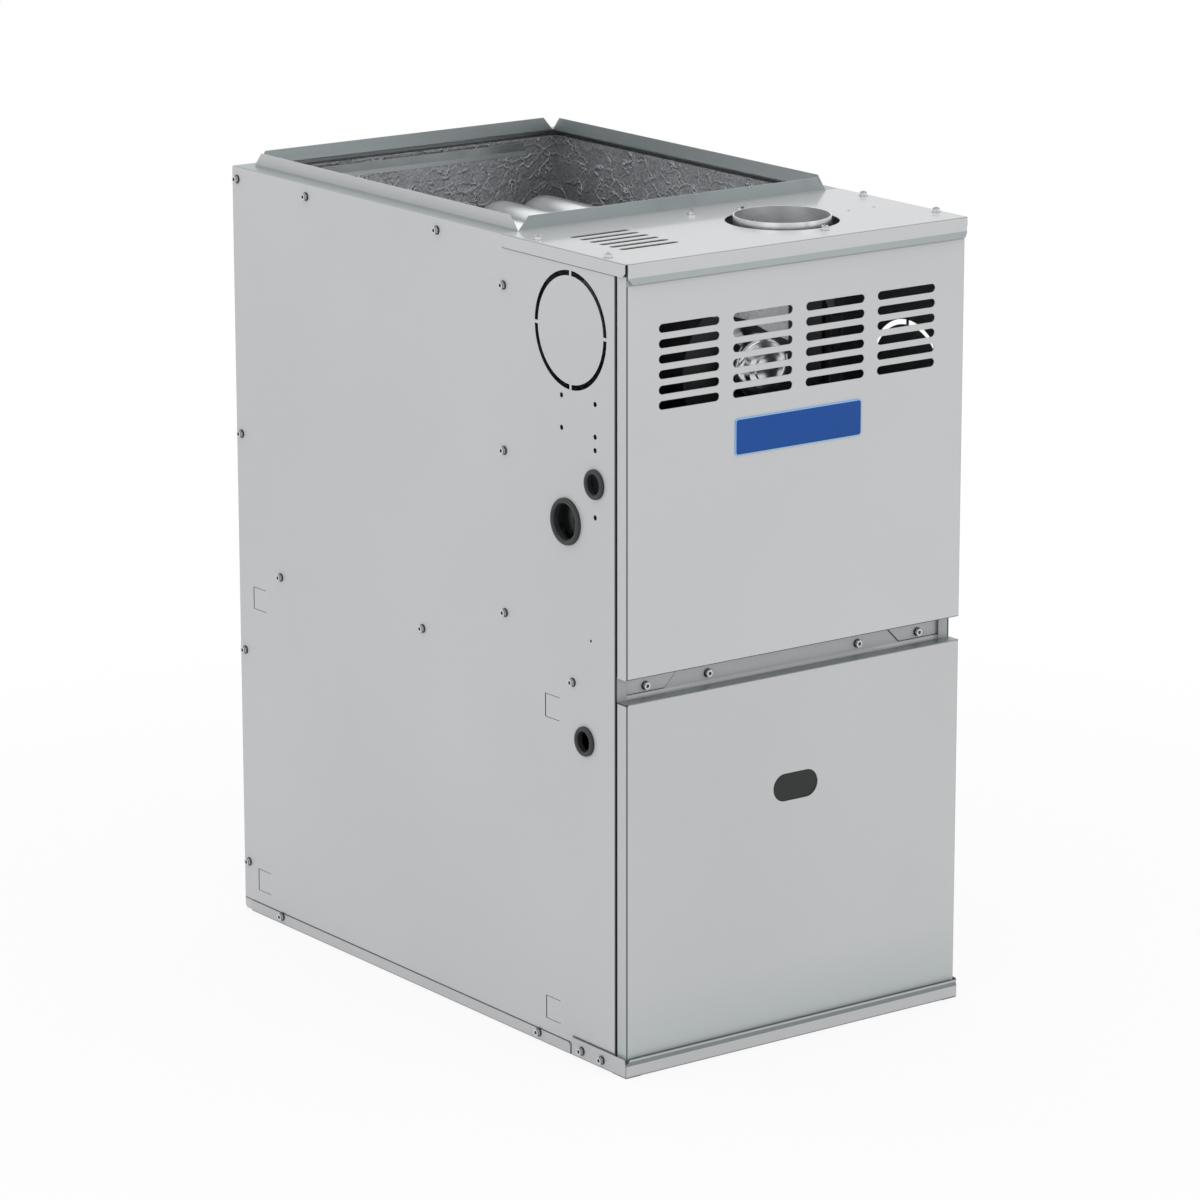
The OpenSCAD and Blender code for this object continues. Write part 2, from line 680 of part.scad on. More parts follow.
// heights and places of the tube ends
tube_r = tube_dia / 2;
tube_top_z = cabinet_h - tube_drop;
tube_pitch = 2 * (inner_x - tube_side) / (tube_count - 1);
tube_z3 = tube_top_z - 2 * tube_bend_top;
tube_z2 = tube_z3 - 2 * tube_bend_low;
tube_z1 = tube_z2 - 2 * tube_bend_low;
tube_x = [for (i = [0:tube_count - 1]) (i - (tube_count - 1) / 2) * tube_pitch];
tube_hole_r = tube_r + 0.2;
module vestibule_panel() {
  flange_d = 18;
  top_flange_d = 43;
  side_low = deck_z + 2;
  color("silver") difference() {
    union() {
      // panel between the side flanges
      translate([-inner_x + bend_r, vest_y, deck_z + bend_r])
        cube([2 * (inner_x - bend_r), sheet, top_in_z - deck_z - 2 * bend_r]);
      // side flanges towards the front
      for (s = [0, 1]) mirror([s, 0, 0])
        translate([-inner_x, vest_back_y, side_low]) mirror([0, 1, 0])
          linear_extrude(top_in_z - bend_r - 2 - side_low) angle_2d(2 * bend_r, flange_d);
      // bottom flange on the deck and top flange under the top plate
      along_x(-duct_x, 2 * duct_x) {
        translate([vest_back_y, deck_z]) mirror([1, 0]) angle_2d(flange_d, 2 * bend_r);
        translate([vest_back_y, top_in_z]) mirror([1, 0]) mirror([0, 1])
          angle_2d(top_flange_d, 2 * bend_r);
      }
    }
    for (x = tube_x, z = [tube_z1, tube_top_z]) translate([x, 0, z])
      rod_y(vest_y - over, sheet + 2 * over, tube_hole_r);
    for (s = [-1, 1], z = vestibule_screw_z) side_hole(s, vestibule_screw_depth, z);
    top_hole(0, top_mid_screw_depth);
    // opening for the limit switch's probe
    translate([limit_x, 0, limit_z]) rod_y(vest_y - over, sheet + 2 * over, limit_probe_r + 1);
  }
}
// scroll of the blower in depth (from the shaft) and height
deck_under = deck_z - sheet;
cutoff_a = 100;
blower_y = front_y + blower_depth;
scroll_turn = 360 - cutoff_a;
scroll_step = 5;
scroll_ratio = ln(scroll_r1 / scroll_r0) / scroll_turn;
function scroll_points(r0, ratio, a0, turn, step, inset) =
  [for (t = [0:step:turn]) (r0 * exp(ratio * t) - inset) * [cos(a0 + t), sin(a0 + t)]];
function scroll_outline(inset, top) = concat(
  [[scroll_r0 * cos(cutoff_a) + inset, top]],
  scroll_points(scroll_r0, scroll_ratio, cutoff_a, scroll_turn, scroll_step, inset),
  [[scroll_r1 - inset, top]]
);
deck_above_shaft = deck_under - blower_z;
module blower_deck() {
  edge_gap = 1;
  front = rail_back_y;
  rear = back_y - 2 * flange_mid - edge_gap;
  throat_y0 = blower_y + scroll_r0 * cos(cutoff_a);
  throat_y1 = blower_y + scroll_r1;
  color("silver") difference() {
    union() {
      along_y(front + bend_r, rear - front - bend_r) difference() {
        translate([0, deck_z]) mirror([0, 1]) block_2d(2 * inner_x, deck_flange, bend_r);
        translate([0, deck_under]) mirror([0, 1])
          block_2d(2 * (inner_x - sheet), deck_flange, bend_r - sheet);
      }
      // tongue between the back panel's flanges
      translate([-inner_x + 2 * bend_r, rear - over, deck_under])
        cube([2 * (inner_x - 2 * bend_r), back_in_y - rear + over, sheet]);
      // front flange behind the cross rail
      along_x(-inner_x + 2 * bend_r, 2 * (inner_x - 2 * bend_r))
        translate([front, deck_z]) mirror([0, 1]) angle_2d(2 * bend_r, deck_flange);
    }
    // throat over the blower's outlet
    translate([-blower_w / 2 + blower_sheet, throat_y0 + blower_sheet, deck_under - over])
      cube([blower_w - 2 * blower_sheet, throat_y1 - throat_y0 - 2 * blower_sheet, sheet + 2 * over]);
    for (s = [-1, 1], d = deck_screw_depth) side_hole(s, d, deck_z - 8);
    cross_screw_cuts();
    // wire hole behind the cross rail
    translate([-inner_x + 60, front + 45, deck_under - over]) cylinder(sheet + 2 * over, r = 12);
  }
}
rail_front_y = front_y + 25.6;
rail_back_y = rail_front_y + sheet;
rail_low = deck_z - 13.7;
rail_top = deck_z + 10.1;
module cross_screw_cuts() {
  for (s = [-1, 1], x = cross_screw_x) translate([s * x, 0, cross_screw_z])
    rod_y(rail_front_y - 3 * sheet, 6 * sheet, screw_hole_r);
}
module cross_rail() {
  arch_w = 2 * (inner_x - 96);
  arch_r = 8;
  color("silver") difference() {
    union() {
      // web with its lower edge raised in the middle
      translate([0, rail_back_y, 0]) rotate([90, 0, 0]) linear_extrude(sheet) difference() {
        translate([-inner_x + 1, rail_low]) square([2 * (inner_x - 1), rail_top - bend_r - rail_low]);
        translate([0, rail_low]) square([arch_w - 2 * arch_r, 6], center = true);
        for (s = [-1, 1]) translate([s * (arch_w / 2 - arch_r), rail_low - arch_r + 3])
          circle(arch_r);
      }
      // top flange over the deck's front edge
      along_x(-inner_x + 1, 2 * (inner_x - 1))
        translate([rail_front_y, rail_top]) mirror([0, 1]) angle_2d(14, 2 * bend_r);
    }
    cross_screw_cuts();
  }
}
module corner_bracket() {
  foot = deck_z - 9.4;
  ear_top = deck_z + 36.1;
  slope_x = inner_x - 65.35;
  tab_d = 32;
  difference() {
    union() {
      translate([0, rail_front_y, 0]) rotate([90, 0, 0]) linear_extrude(sheet)
        polygon([[-inner_x + bend_r, foot], [-slope_x, foot], [-slope_x + 14, foot + 14],
             [-slope_x + 14, rail_top + 2], [-inner_x + 26, ear_top],
             [-inner_x + bend_r, ear_top]]);
      translate([-inner_x, rail_front_y - sheet, foot]) linear_extrude(ear_top - foot)
        angle_2d(2 * bend_r, tab_d);
    }
    cross_screw_cuts();
    // notch over the ends of the cross rail and the deck's side flange
    translate([-inner_x - over, rail_front_y, foot - over])
      cube([sheet + over + 1.2, tab_d, rail_top + 0.5 - foot + over]);
  }
}
module corner_brackets() { color("silver") for (s = [0, 1]) mirror([s, 0, 0]) corner_bracket(); }

/* -------- liners of the supply opening -------- */
liner_low = deck_z + 2;
liner_top = cabinet_h - 7;
module side_liner() {
  y0 = vest_back_y + 1;
  y1 = back_y - 2 * flange_mid - 1;
  difference() {
    translate([-inner_x, y0, liner_low]) cube([liner_t, y1 - y0, liner_top - liner_low]);
    for (d = top_screw_depth) translate([-inner_x, front_y + d, cabinet_h - 14]) rotate([0, 90, 0])
      cylinder(2 * liner_t, r = screw_hole_r + 0.5, center = true);
  }
}
module left_liner() { color("lightgray") side_liner(); }
module right_liner() { color("lightgray") mirror([1, 0, 0]) side_liner(); }
module back_liner() {
  w = 2 * (inner_x - liner_t - 1);
  color("lightgray") translate([-w / 2, back_in_y - liner_t, liner_low])
    cube([w, liner_t, liner_top - liner_low]);
}
module liner_strip() {
  // holds the back liner, leaning forwards
  strip_h = 15;
  lean = 4;
  y0 = back_in_y - liner_t;
  x0 = -inner_x + 31.35;
  x1 = inner_x - 56.35;
  z0 = liner_top - strip_h - 4;
  color("silver") difference() {
    along_x(x0, x1 - x0) polygon([[y0, z0], [y0, z0 + 5], [y0 - lean, z0 + strip_h],
                   [y0 - lean - sheet, z0 + strip_h], [y0 - sheet, z0 + 5], [y0 - sheet, z0]]);
    along_y(y0 - lean - 2, lean + 4) polygon([[x1 - 8, z0 + strip_h + over], [x1 + over, z0 + strip_h + over],
                         [x1 + over, z0 + 5]]);
  }
}

/* -------- heat exchanger -------- */
// straight hollow stretch of tube along y
module tube_run(y0, y1, z) {
  translate([0, y1, z]) rotate([90, 0, 0]) ring(y1 - y0, tube_r, tube_r - tube_wall);
}
// return bend round a centre in y and z, at the rear (side 1) or front (side -1)
module tube_bend(y, z, r, side) {
  translate([0, y, z]) rotate([0, -90, 0]) rotate([0, 0, side > 0 ? 0 : 180]) rotate_extrude(angle = 180)
    translate([r, 0]) ring_2d(tube_r, tube_r - tube_wall);
}
module exchanger_tube(i) {
  flare = 3;
  rear = back_in_y - liner_t - tube_rear_gap - tube_r - tube_bend_top;
  // the lower rear bend ends in line with the upper one
  rear_low = rear + tube_bend_top - tube_bend_low;
  front = vest_y + tube_front_depth;
  color("gainsboro") translate([tube_x[i], 0, 0]) {
    tube_run(vest_y, rear_low, tube_z1);
    tube_bend(rear_low, tube_z1 + tube_bend_low, tube_bend_low, 1);
    tube_run(front, rear_low, tube_z2);
    tube_bend(front, tube_z2 + tube_bend_low, tube_bend_low, -1);
    tube_run(front, rear, tube_z3);
    tube_bend(rear, tube_z3 + tube_bend_top, tube_bend_top, 1);
    tube_run(vest_y, rear, tube_top_z);
    // rolled ends in front of the panel
    for (z = [tube_z1, tube_top_z]) translate([0, vest_y, z]) rotate([90, 0, 0])
      ring(tube_wall, tube_r + flare, tube_r - tube_wall);
  }
}
module exchanger_tube_1() { exchanger_tube(0); }
module exchanger_tube_2() { exchanger_tube(1); }
module exchanger_tube_3() { exchanger_tube(2); }
module exchanger_tube_4() { exchanger_tube(3); }
module exchanger_tube_5() { exchanger_tube(4); }
module exchanger_tube_6() { exchanger_tube(5); }
// outer half width that covers the row of tube ends
bank_x = (tube_count - 1) / 2 * tube_pitch + tube_r + 12;
collector_z0 = tube_top_z - tube_r - 12;
collector_z1 = tube_top_z + tube_r + 11;
collector_y = vest_y - collector_d;
inducer_inlet_r = 40;
// collector box: the tube row and a pocket behind the inducer
module collector_2d(inset) {
  translate([-bank_x + inset, collector_z0 + inset])
    square([2 * (bank_x - inset), collector_z1 - collector_z0 - 2 * inset]);
  translate([-inducer_x - inducer_inlet_r - 15 + inset, inducer_z - inducer_inlet_r - 12 + inset])
    square([2 * (inducer_inlet_r + 15 - inset), collector_z0 - inducer_z + inducer_inlet_r + 12]);
}
module collector_box() {
  color("darkgray") translate([0, vest_y, 0]) rotate([90, 0, 0]) {
    linear_extrude(collector_d) difference() {
      collector_2d(0);
      collector_2d(sheet);
    }
    translate([0, 0, collector_d - sheet]) linear_extrude(sheet) difference() {
      collector_2d(0);
      translate([-inducer_x, inducer_z]) circle(inducer_inlet_r);
    }
  }
}

/* -------- burners and gas -------- */
burner_front_y = vest_y - burner_box_d;
burner_z0 = tube_z1 - burner_box_h / 2;
burner_z1 = tube_z1 + burner_box_h / 2;
burner_head_r = 19;
module burner_box() {
  color("darkgray") difference() {
    translate([-bank_x, burner_front_y, burner_z0]) cube([2 * bank_x, burner_box_d, burner_box_h]);
    translate([-bank_x + sheet, burner_front_y + sheet, burner_z0 + sheet])
      cube([2 * (bank_x - sheet), burner_box_d, burner_box_h - 2 * sheet]);
    for (x = tube_x) translate([x, 0, tube_z1])
      rod_y(burner_front_y - over, sheet + 2 * over, burner_head_r + fit_gap);
    for (s = [-1, 1]) translate([s * bank_x, probe_y, tube_z1]) rotate([0, 90, 0])
      cylinder(6 * sheet, r = probe_r + 0.5, center = true);
  }
}
orifice_tip_y = burner_front_y - 56;
module burners() {
  // in-shot burner: inlet bell, throat and flame head, turned about its axis
  l = 77;
  shoulder = 52;
  wall = 1.2;
  color("gray") for (x = tube_x) translate([x, burner_front_y - shoulder, tube_z1])
    rotate([-90, 0, 0]) rotate_extrude() difference() {
      polygon([[0, 0], [17, 0], [17, 3], [12, 14], [12, 34], [burner_head_r - 1, 46],
           [burner_head_r - 1, shoulder - 2], [24, shoulder - 2], [24, shoulder],
           [burner_head_r, shoulder], [burner_head_r, l], [0, l]]);
      polygon([[0, -over], [17 - wall, -over], [17 - wall, 3], [12 - wall, 14], [12 - wall, 34],
           [burner_head_r - 1 - wall, 46], [burner_head_r - 1 - wall, shoulder - 2],
           [burner_head_r - wall, shoulder], [burner_head_r - wall, l - 4],
           [7, l - 4], [7, l + over], [0, l + over]]);
    }
}
probe_y = vest_y - 5;
probe_r = 2.2;
// ceramic holder on the burner box's end wall, its rod inside
module probe(rod_l) {
  translate([-bank_x - 5, probe_y - 6, tube_z1 - 12]) cube([5, 11, 24]);
  translate([0, probe_y, tube_z1]) rod_x(-bank_x - 17, 12, 5);
  translate([0, probe_y, tube_z1]) rod_x(-bank_x - 1, rod_l + 1, probe_r);
}
module igniter() { color("white") mirror([1, 0, 0]) probe(24); }
module flame_sensor() { color("white") probe(30); }
rollout_x = 2 * tube_pitch;
rollout_y = vest_y - burner_box_d / 2;
button_r = 2;
button_travel = 1.5;
module rollout_switches() {
  color("dimgray") for (s = [-1, 1]) translate([s * rollout_x, rollout_y, burner_z1]) difference() {
    union() {
      translate([-12, -6, 0]) cube([24, 12, 1]);
      cylinder(9, r = 8);
      cylinder(11, r = 4);
      for (t = [-1, 1]) translate([t * 5.5 - 0.4, -3, 8]) cube([0.8, 6, 8]);
    }
    translate([0, 0, 6]) cylinder(6, r = button_r + 0.05);
    for (t = [-1, 1]) translate([t * 10, 0, -over]) cylinder(2 + over, r = 1.4);
  }
}
module rollout_button(s) {
  color("red") translate([s * rollout_x, rollout_y, burner_z1 + 6 + button_travel + 0.3]) {
    cylinder(7, r = button_r);
  }
}
module rollout_button_left() { rollout_button(-1); }
module rollout_button_right() { rollout_button(1); }

valve_y = front_y + gas_depth;
valve_x0 = -inner_x + 14;
valve_l = 88;
valve_h = 50;
valve_d = 70;
riser_x = valve_x0 + valve_l + 24;
pipe_r = 10.7;
manifold_x = tube_x[tube_count - 1] + 25;
valve_socket = 12;
module gas_manifold() {
  manifold_r = manifold_dia / 2;
  bore_r = manifold_r - 3;
  strap = 3;
  color("dimgray") {
    difference() {
      union() {
        translate([0, valve_y, tube_z1]) rod_x(-manifold_x, 2 * manifold_x, manifold_r);
        // riser and elbow to the gas valve
        translate([riser_x, valve_y, tube_z1]) cylinder(gas_z - tube_z1, r = pipe_r);
        translate([riser_x, valve_y, gas_z]) sphere(pipe_r + 3);
        translate([0, valve_y, gas_z])
          rod_x(valve_x0 + valve_l - valve_socket + 0.1, riser_x - valve_x0 - valve_l + valve_socket, pipe_r);
        translate([riser_x, valve_y, gas_z - 24]) cylinder(12, r = pipe_r + 3);
        // orifices
        for (x = tube_x) translate([x, valve_y, tube_z1]) {
          rod_y(0, orifice_tip_y - valve_y, 3.5);
          translate([0, manifold_r + 6, 0]) rotate([90, 0, 0]) cylinder(8, r = 6.4, $fn = 6);
        }
      }
      translate([0, valve_y, tube_z1]) rod_x(-manifold_x + 4, 2 * manifold_x - 8, bore_r);
      for (x = tube_x) translate([x, valve_y, tube_z1]) rod_y(0, orifice_tip_y - valve_y + over, 1.2);
    }
    // straps from the manifold's ends to the burner box
    for (s = [-1, 1]) {
      translate([s * (manifold_x + strap / 2), (valve_y + burner_front_y) / 2, tube_z1])
        cube([strap, burner_front_y - valve_y, 16], center = true);
      translate([s * (manifold_x + strap / 2), valve_y, tube_z1]) rotate([0, 90, 0])
        cylinder(strap, r = manifold_r, center = true);
      translate([s * (manifold_x + 4.5), burner_front_y - strap / 2, tube_z1])
        cube([9, strap, 16], center = true);
    }
  }
}
valve_knob_x = valve_x0 + 56;
valve_knob_seat = 6;
module gas_valve() {
  port_r = 9.4;
  color("darkgray") difference() {
    union() {
      // cast body with its two end ports and the operator on top
      translate([valve_x0 + valve_l / 2, valve_y + valve_d / 2, gas_z]) rotate([90, 0, 0])
        linear_extrude(valve_d) plate_2d(valve_l - 16, valve_h, 6);
      translate([0, valve_y, gas_z]) rod_x(valve_x0, valve_l, 17);
      translate([valve_x0 + 12, valve_y - 26, gas_z + valve_h / 2]) cube([36, 44, 3.5]);
      // control face
      translate([valve_knob_x, 0, gas_z]) rod_y(valve_y - valve_d / 2 - valve_knob_seat, valve_knob_seat, 15);
      translate([valve_x0 + 24, 0, gas_z - 6]) rod_y(valve_y - valve_d / 2 - 5, 5, 8);
    }
    translate([0, valve_y, gas_z]) rod_x(valve_x0 - over, 18 + over, port_r);
    translate([0, valve_y, gas_z])
      rod_x(valve_x0 + valve_l - valve_socket, valve_socket + over, pipe_r + 0.05);
    translate([valve_knob_x, 0, gas_z])
      rod_y(valve_y - valve_d / 2 - valve_knob_seat - over, 12 + over, 3.05);
  }
}
module gas_valve_knob() {
  face_y = valve_y - valve_d / 2 - valve_knob_seat;
  color("black") translate([valve_knob_x, 0, gas_z]) {
    rod_y(face_y - 0.3, 8, 3);
    difference() {
      rod_y(face_y - 12.3, 12, 13);
      for (a = [0:30:330]) rotate([0, a, 0]) translate([14.2, 0, 0]) rod_y(face_y - 13.3, 14, 2);
    }
    translate([-2.5, face_y - 17.3, -12]) cube([5, 5, 24]);
  }
}

/* -------- inducer and flue -------- */
flue_y = front_y + flue_depth;
inducer_z = cabinet_h - inducer_drop;
housing_wall = 1.5;
housing_y0 = flue_y - inducer_w / 2;
housing_y1 = flue_y + inducer_w / 2;
neck_z = cabinet_h - neck_drop;
// volute from the cutoff at the neck's inner wall round to its outer wall
volute_r0 = inducer_wheel_dia / 2 + 8;
volute_r1 = flue_x + inducer_x + neck_w / 2;
volute_low = volute_r1 - neck_w;
volute_a = acos(volute_low / volute_r0);
volute_turn = 360 - volute_a;
volute_ratio = ln(volute_r1 / volute_r0) / volute_turn;
collar_r = collar_dia / 2;
module volute_2d(inset) {
  end = neck_z - inducer_z + (inset > 0 ? over : 0);
  polygon(concat(
    [for (t = [0:volute_turn / 52:volute_turn + 0.1])
      (volute_r0 * exp(volute_ratio * t) - inset) * [cos(volute_a + t), sin(volute_a + t)]],
    [[volute_r1 - inset, end], [volute_low + inset, end],
     [volute_low + inset, volute_r0 * sin(volute_a)]]));
}
module inducer_housing() {
  color("dimgray") {
    translate([-inducer_x, housing_y1, inducer_z]) rotate([90, 0, 0]) {
      linear_extrude(inducer_w) difference() {
        volute_2d(0);
        volute_2d(housing_wall);
      }
      linear_extrude(housing_wall) difference() {
        volute_2d(0);
        circle(inducer_inlet_r);
      }
      translate([0, 0, inducer_w - housing_wall]) linear_extrude(housing_wall) difference() {
        volute_2d(0);
        circle(12);
      }
    }
    // spacer ring against the collector box
    translate([-inducer_x, collector_y, inducer_z]) rotate([90, 0, 0])
      ring(collector_y - housing_y1, inducer_inlet_r + 10, inducer_inlet_r + 8.5);
  }
}
inducer_shaft_r = 4;
motor_bell_y = housing_y0 - inducer_motor_l;
motor_flange_y = housing_y0 - 10;
module inducer_motor() {
  // stepped end bell in front, body, three legs to the housing
  r = 34;
  l = motor_flange_y - motor_bell_y;
  leg_r = 42;
  color("gainsboro") translate([-inducer_x, motor_bell_y, inducer_z]) {
    difference() {
      rotate([-90, 0, 0]) rotate_extrude() {
        square([14, l]);
        translate([0, 2]) square([22, l - 2]);
        translate([0, 7]) square([r - 7, l - 7]);
        translate([r - 7, 14]) intersection() {
          circle(7);
          translate([0, -7]) square(7);
        }
        translate([0, 14]) square([r, l - 14]);
      }
      rod_y(4, l, inducer_shaft_r + 0.05);
    }
    for (a = [0:120:240]) rotate([0, a, 0]) {
      translate([r - 4, l - 3, -6]) cube([leg_r - r + 8, 3, 12]);
      translate([leg_r, 0, 0]) rod_y(l - 0.1, housing_y0 - motor_flange_y + 0.1, 3);
    }
  }
}
module inducer_wheel() {
  r = inducer_wheel_dia / 2;
  w = inducer_w - 16;
  blades = 24;
  eye = r - 20;
  shaft_y = motor_bell_y + 6 - housing_y0 - 6;
  color("silver") translate([-inducer_x, housing_y0 + 6, inducer_z]) {
    rod_y(0, 1.5, r);
    rod_y(0, 26, 10);
    for (a = [0:360 / blades:359]) rotate([0, a, 0]) translate([0, w - 0.5, 0])
      rotate([90, 0, 0]) linear_extrude(w - 1) intersection() {
        translate([eye + 1, -14]) ring_2d(14, 13);
        translate([eye + 1, -14]) square([14, 14]);
      }
    translate([0, w, 0]) rotate([90, 0, 0]) ring(1.5, r, eye);
    rod_y(shaft_y, 20 - shaft_y, inducer_shaft_r);
  }
}
// cooling fan between the motor and the housing
module inducer_fan() {
  fan_r = 30;
  hub_l = 6;
  color("black") translate([-inducer_x, motor_flange_y + 2, inducer_z]) difference() {
    union() {
      rod_y(0, hub_l, 9);
      for (a = [0:60:300]) rotate([0, a, 0]) translate([7, hub_l / 2, 0]) rotate([25, 0, 0])
        translate([0, -0.6, -5]) cube([fan_r - 7, 1.2, 10]);
    }
    rod_y(-over, hub_l + 2 * over, inducer_shaft_r + 0.05);
  }
}
// base plate of the vent on the outlet neck, with a shield above the motor
module vent_base() {
  base_t = 1.2;
  shield_x = -inducer_x - 48;
  rim = 4;
  x1 = flue_x + collar_r + rim;
  y1 = flue_y + collar_r + rim;
  neck_x = flue_x - neck_w / 2;
  color("gainsboro") {
    translate([0, 0, neck_z]) linear_extrude(base_t) difference() {
      union() {
        translate([shield_x, housing_y0 - sheet]) square([x1 - shield_x, y1 - housing_y0 + sheet]);
        translate([flue_x, flue_y]) circle(collar_r + rim);
      }
      translate([neck_x + housing_wall, housing_y0 + housing_wall])
        square([neck_w - 2 * housing_wall, inducer_w - 2 * housing_wall]);
    }
    along_y(housing_y0 - sheet, sheet) polygon([
      [shield_x, neck_z + base_t], [neck_x, neck_z + base_t], [neck_x, inducer_z + 17],
      [neck_x - 28, inducer_z + 30], [neck_x - 54, inducer_z + 45],
      [neck_x - 70, inducer_z + 50], [shield_x, inducer_z + 54]]);
  }
}
module flue_collar() {
  low = neck_z + 1.2;
  tab_low = neck_z + 19.3;
  tab_w = 24;
  tab_out = collar_screw_r + 5.3;
  web_r = collar_r + 14.5;
  tab_t = 1.2;
  color("silver") translate([flue_x, flue_y, 0]) difference() {
    union() {
      translate([0, 0, low]) cylinder(cabinet_h + collar_rise - low, r = collar_r);
      // stop ring for the vent connector, in line with the hangers
      translate([0, 0, tab_low]) cylinder(tab_t, r = collar_r + 6);
      for (s = [0, 1]) mirror([0, s, 0]) along_x(-tab_w / 2, tab_w) {
        translate([collar_r - 3, tab_low]) square([web_r - collar_r + 3, tab_t]);
        translate([web_r - tab_t, tab_low]) square([tab_t, top_in_z - tab_low]);
        translate([web_r - tab_t, top_in_z - tab_t]) square([tab_out - web_r + tab_t, tab_t]);
      }
    }
    translate([0, 0, low - over]) cylinder(cabinet_h, r = collar_r - collar_wall);
    for (s = [-1, 1]) translate([0, s * collar_screw_r, top_in_z - 3 * tab_t])
      cylinder(6 * tab_t, r = screw_hole_r);
  }
}

/* -------- controls in the burner compartment -------- */
switch_x = bank_x - 34.25;
switch_back = 10;
hose_r = 4.2;
barb_r = 2.6;
hose_bend_r = 22;
hose_z = collector_z0 + 18;
switch_z = (hose_z + burner_z1) / 2;
module pressure_switch() {
  disc_r = 36;
  y1 = vest_y - switch_back;
  color("dimgray") {
    // mounting plate, spacer, diaphragm housing with its clamped rim
    translate([switch_x - 24, vest_y - sheet, switch_z - 46]) cube([48, sheet, 92]);
    translate([switch_x, 0, switch_z]) {
      rod_y(y1, switch_back, 14);
      rod_y(y1 - 20, 20, disc_r - 5);
      rod_y(y1 - 11.5, 3, disc_r);
      rod_y(y1 - 24, 4, 8);
      rod_y(y1 - 40, 16, barb_r);
      // terminals
      for (s = [-1, 1]) translate([s * 18 - 3, y1 - 29, 10]) cube([6, 10, 0.8]);
    }
  }
}
module pressure_hose() {
  y_low = vest_y - switch_back - 24;
  y_bend = y_low - 20;
  z1 = hose_z - hose_bend_r;
  wall = hose_r - barb_r - 0.05;
  color("black") translate([switch_x, 0, 0]) {
    translate([0, y_low, switch_z]) rotate([90, 0, 0]) ring(y_low - y_bend, hose_r, hose_r - wall);
    for (e = [[switch_z + hose_bend_r, 180], [z1, 270]])
      translate([0, y_bend, e[0]]) rotate([0, -90, 0]) rotate([0, 0, e[1]]) rotate_extrude(angle = 90)
        translate([hose_bend_r, 0]) ring_2d(hose_r, hose_r - wall);
    translate([0, y_bend - hose_bend_r, switch_z + hose_bend_r])
      ring(z1 - switch_z - hose_bend_r, hose_r, hose_r - wall);
    translate([0, collector_y, hose_z]) rotate([90, 0, 0])
      ring(collector_y - y_bend, hose_r, hose_r - wall);
  }
}
limit_x = tube_x[tube_count - 2] - tube_pitch / 2;
limit_z = (collector_z0 + burner_z1) / 2;
limit_probe_r = 3;
module limit_switch() {
  color("dimgray") translate([limit_x, 0, limit_z]) {
    rod_y(vest_y - 9, 9, 9);
    translate([-16, vest_y - 1.2, -7]) cube([32, 1.2, 14]);
    rod_y(vest_y - over, 26, limit_probe_r);
    for (s = [-1, 1]) translate([s * 4 - 0.4, vest_y - 17, -3]) cube([0.8, 9, 6]);
  }
}
module junction_box() {
  w = 50;
  h = 46;
  d = 52;
  y0 = front_y + 30;
  z0 = gas_z + 29.7;
  color("silver") difference() {
    translate([-inner_x, y0, z0]) cube([w, d, h]);
    translate([-inner_x + sheet, y0 + sheet, z0 + sheet]) cube([w - 2 * sheet, d - 2 * sheet, h - 2 * sheet]);
    // round the wire grommet, and a wire outlet below the cover
    translate([0, front_y + line_depth, line_z])
      rod_x(-inner_x - over, 3 * over, wire_grommet_dia / 2 + 1);
    translate([-inner_x + w - 12, y0 + d / 2, z0 - over]) cylinder(3 * over, r = 6);
  }
}
module grommet(dia, bore) {
  inner_lip = 2.5;
  outer_lip = 1.6;
  mid_r = (dia + bore) / 4;
  lip_r = (dia - bore) / 4;
  rotate([0, -90, 0]) rotate_extrude() {
    // groove for the sheet, then the straight and the domed part of the lip outside
    translate([bore / 2, -sheet]) square([groove_r(dia, bore) - 0.05 - bore / 2, sheet]);
    translate([bore / 2, 0]) square([2 * lip_r, outer_lip]);
    translate([mid_r, outer_lip]) intersection() {
      circle(lip_r);
      translate([-lip_r, 0]) square([2 * lip_r, lip_r]);
    }
    translate([bore / 2, -sheet - inner_lip]) square([2 * lip_r, inner_lip]);
  }
}
module grommets() {
  color("dimgray") for (g = [[gas_depth, gas_z, gas_grommet_dia, gas_grommet_bore],
                [line_depth, line_z, wire_grommet_dia, wire_grommet_bore],
                [low_depth, low_z, wire_grommet_dia, wire_grommet_bore]])
    translate([-side_x, front_y + g[0], g[1]]) grommet(g[2], g[3]);
}

/* -------- blower -------- */
module blower_scroll() {
  x1 = blower_w / 2 - blower_sheet;
  color("silver") along_x(-x1, 2 * x1) translate([blower_y, blower_z]) difference() {
    polygon(scroll_outline(0, deck_above_shaft));
    polygon(scroll_outline(blower_sheet, deck_above_shaft + over));
  }
}
module blower_side() {
  lip_r = inlet_r + inlet_lip;
  hanger = 18;
  throat_y0 = blower_y + scroll_r0 * cos(cutoff_a);
  along_x(-blower_w / 2, blower_sheet) translate([blower_y, blower_z]) difference() {
    polygon(scroll_outline(0, deck_above_shaft));
    circle(lip_r);
  }
  // inlet bell
  translate([-blower_w / 2, blower_y, blower_z]) rotate([0, 90, 0]) rotate_extrude() {
    intersection() {
      translate([lip_r, inlet_lip]) ring_2d(inlet_lip, inlet_lip - blower_sheet);
      translate([inlet_r, 0]) square(inlet_lip);
    }
    translate([lip_r, 0]) square([2, blower_sheet]);
  }
  // hanger flange under the deck
  translate([-blower_w / 2 - hanger, throat_y0, deck_under - blower_sheet])
    cube([hanger + blower_sheet, blower_y + scroll_r1 - throat_y0, blower_sheet]);
}
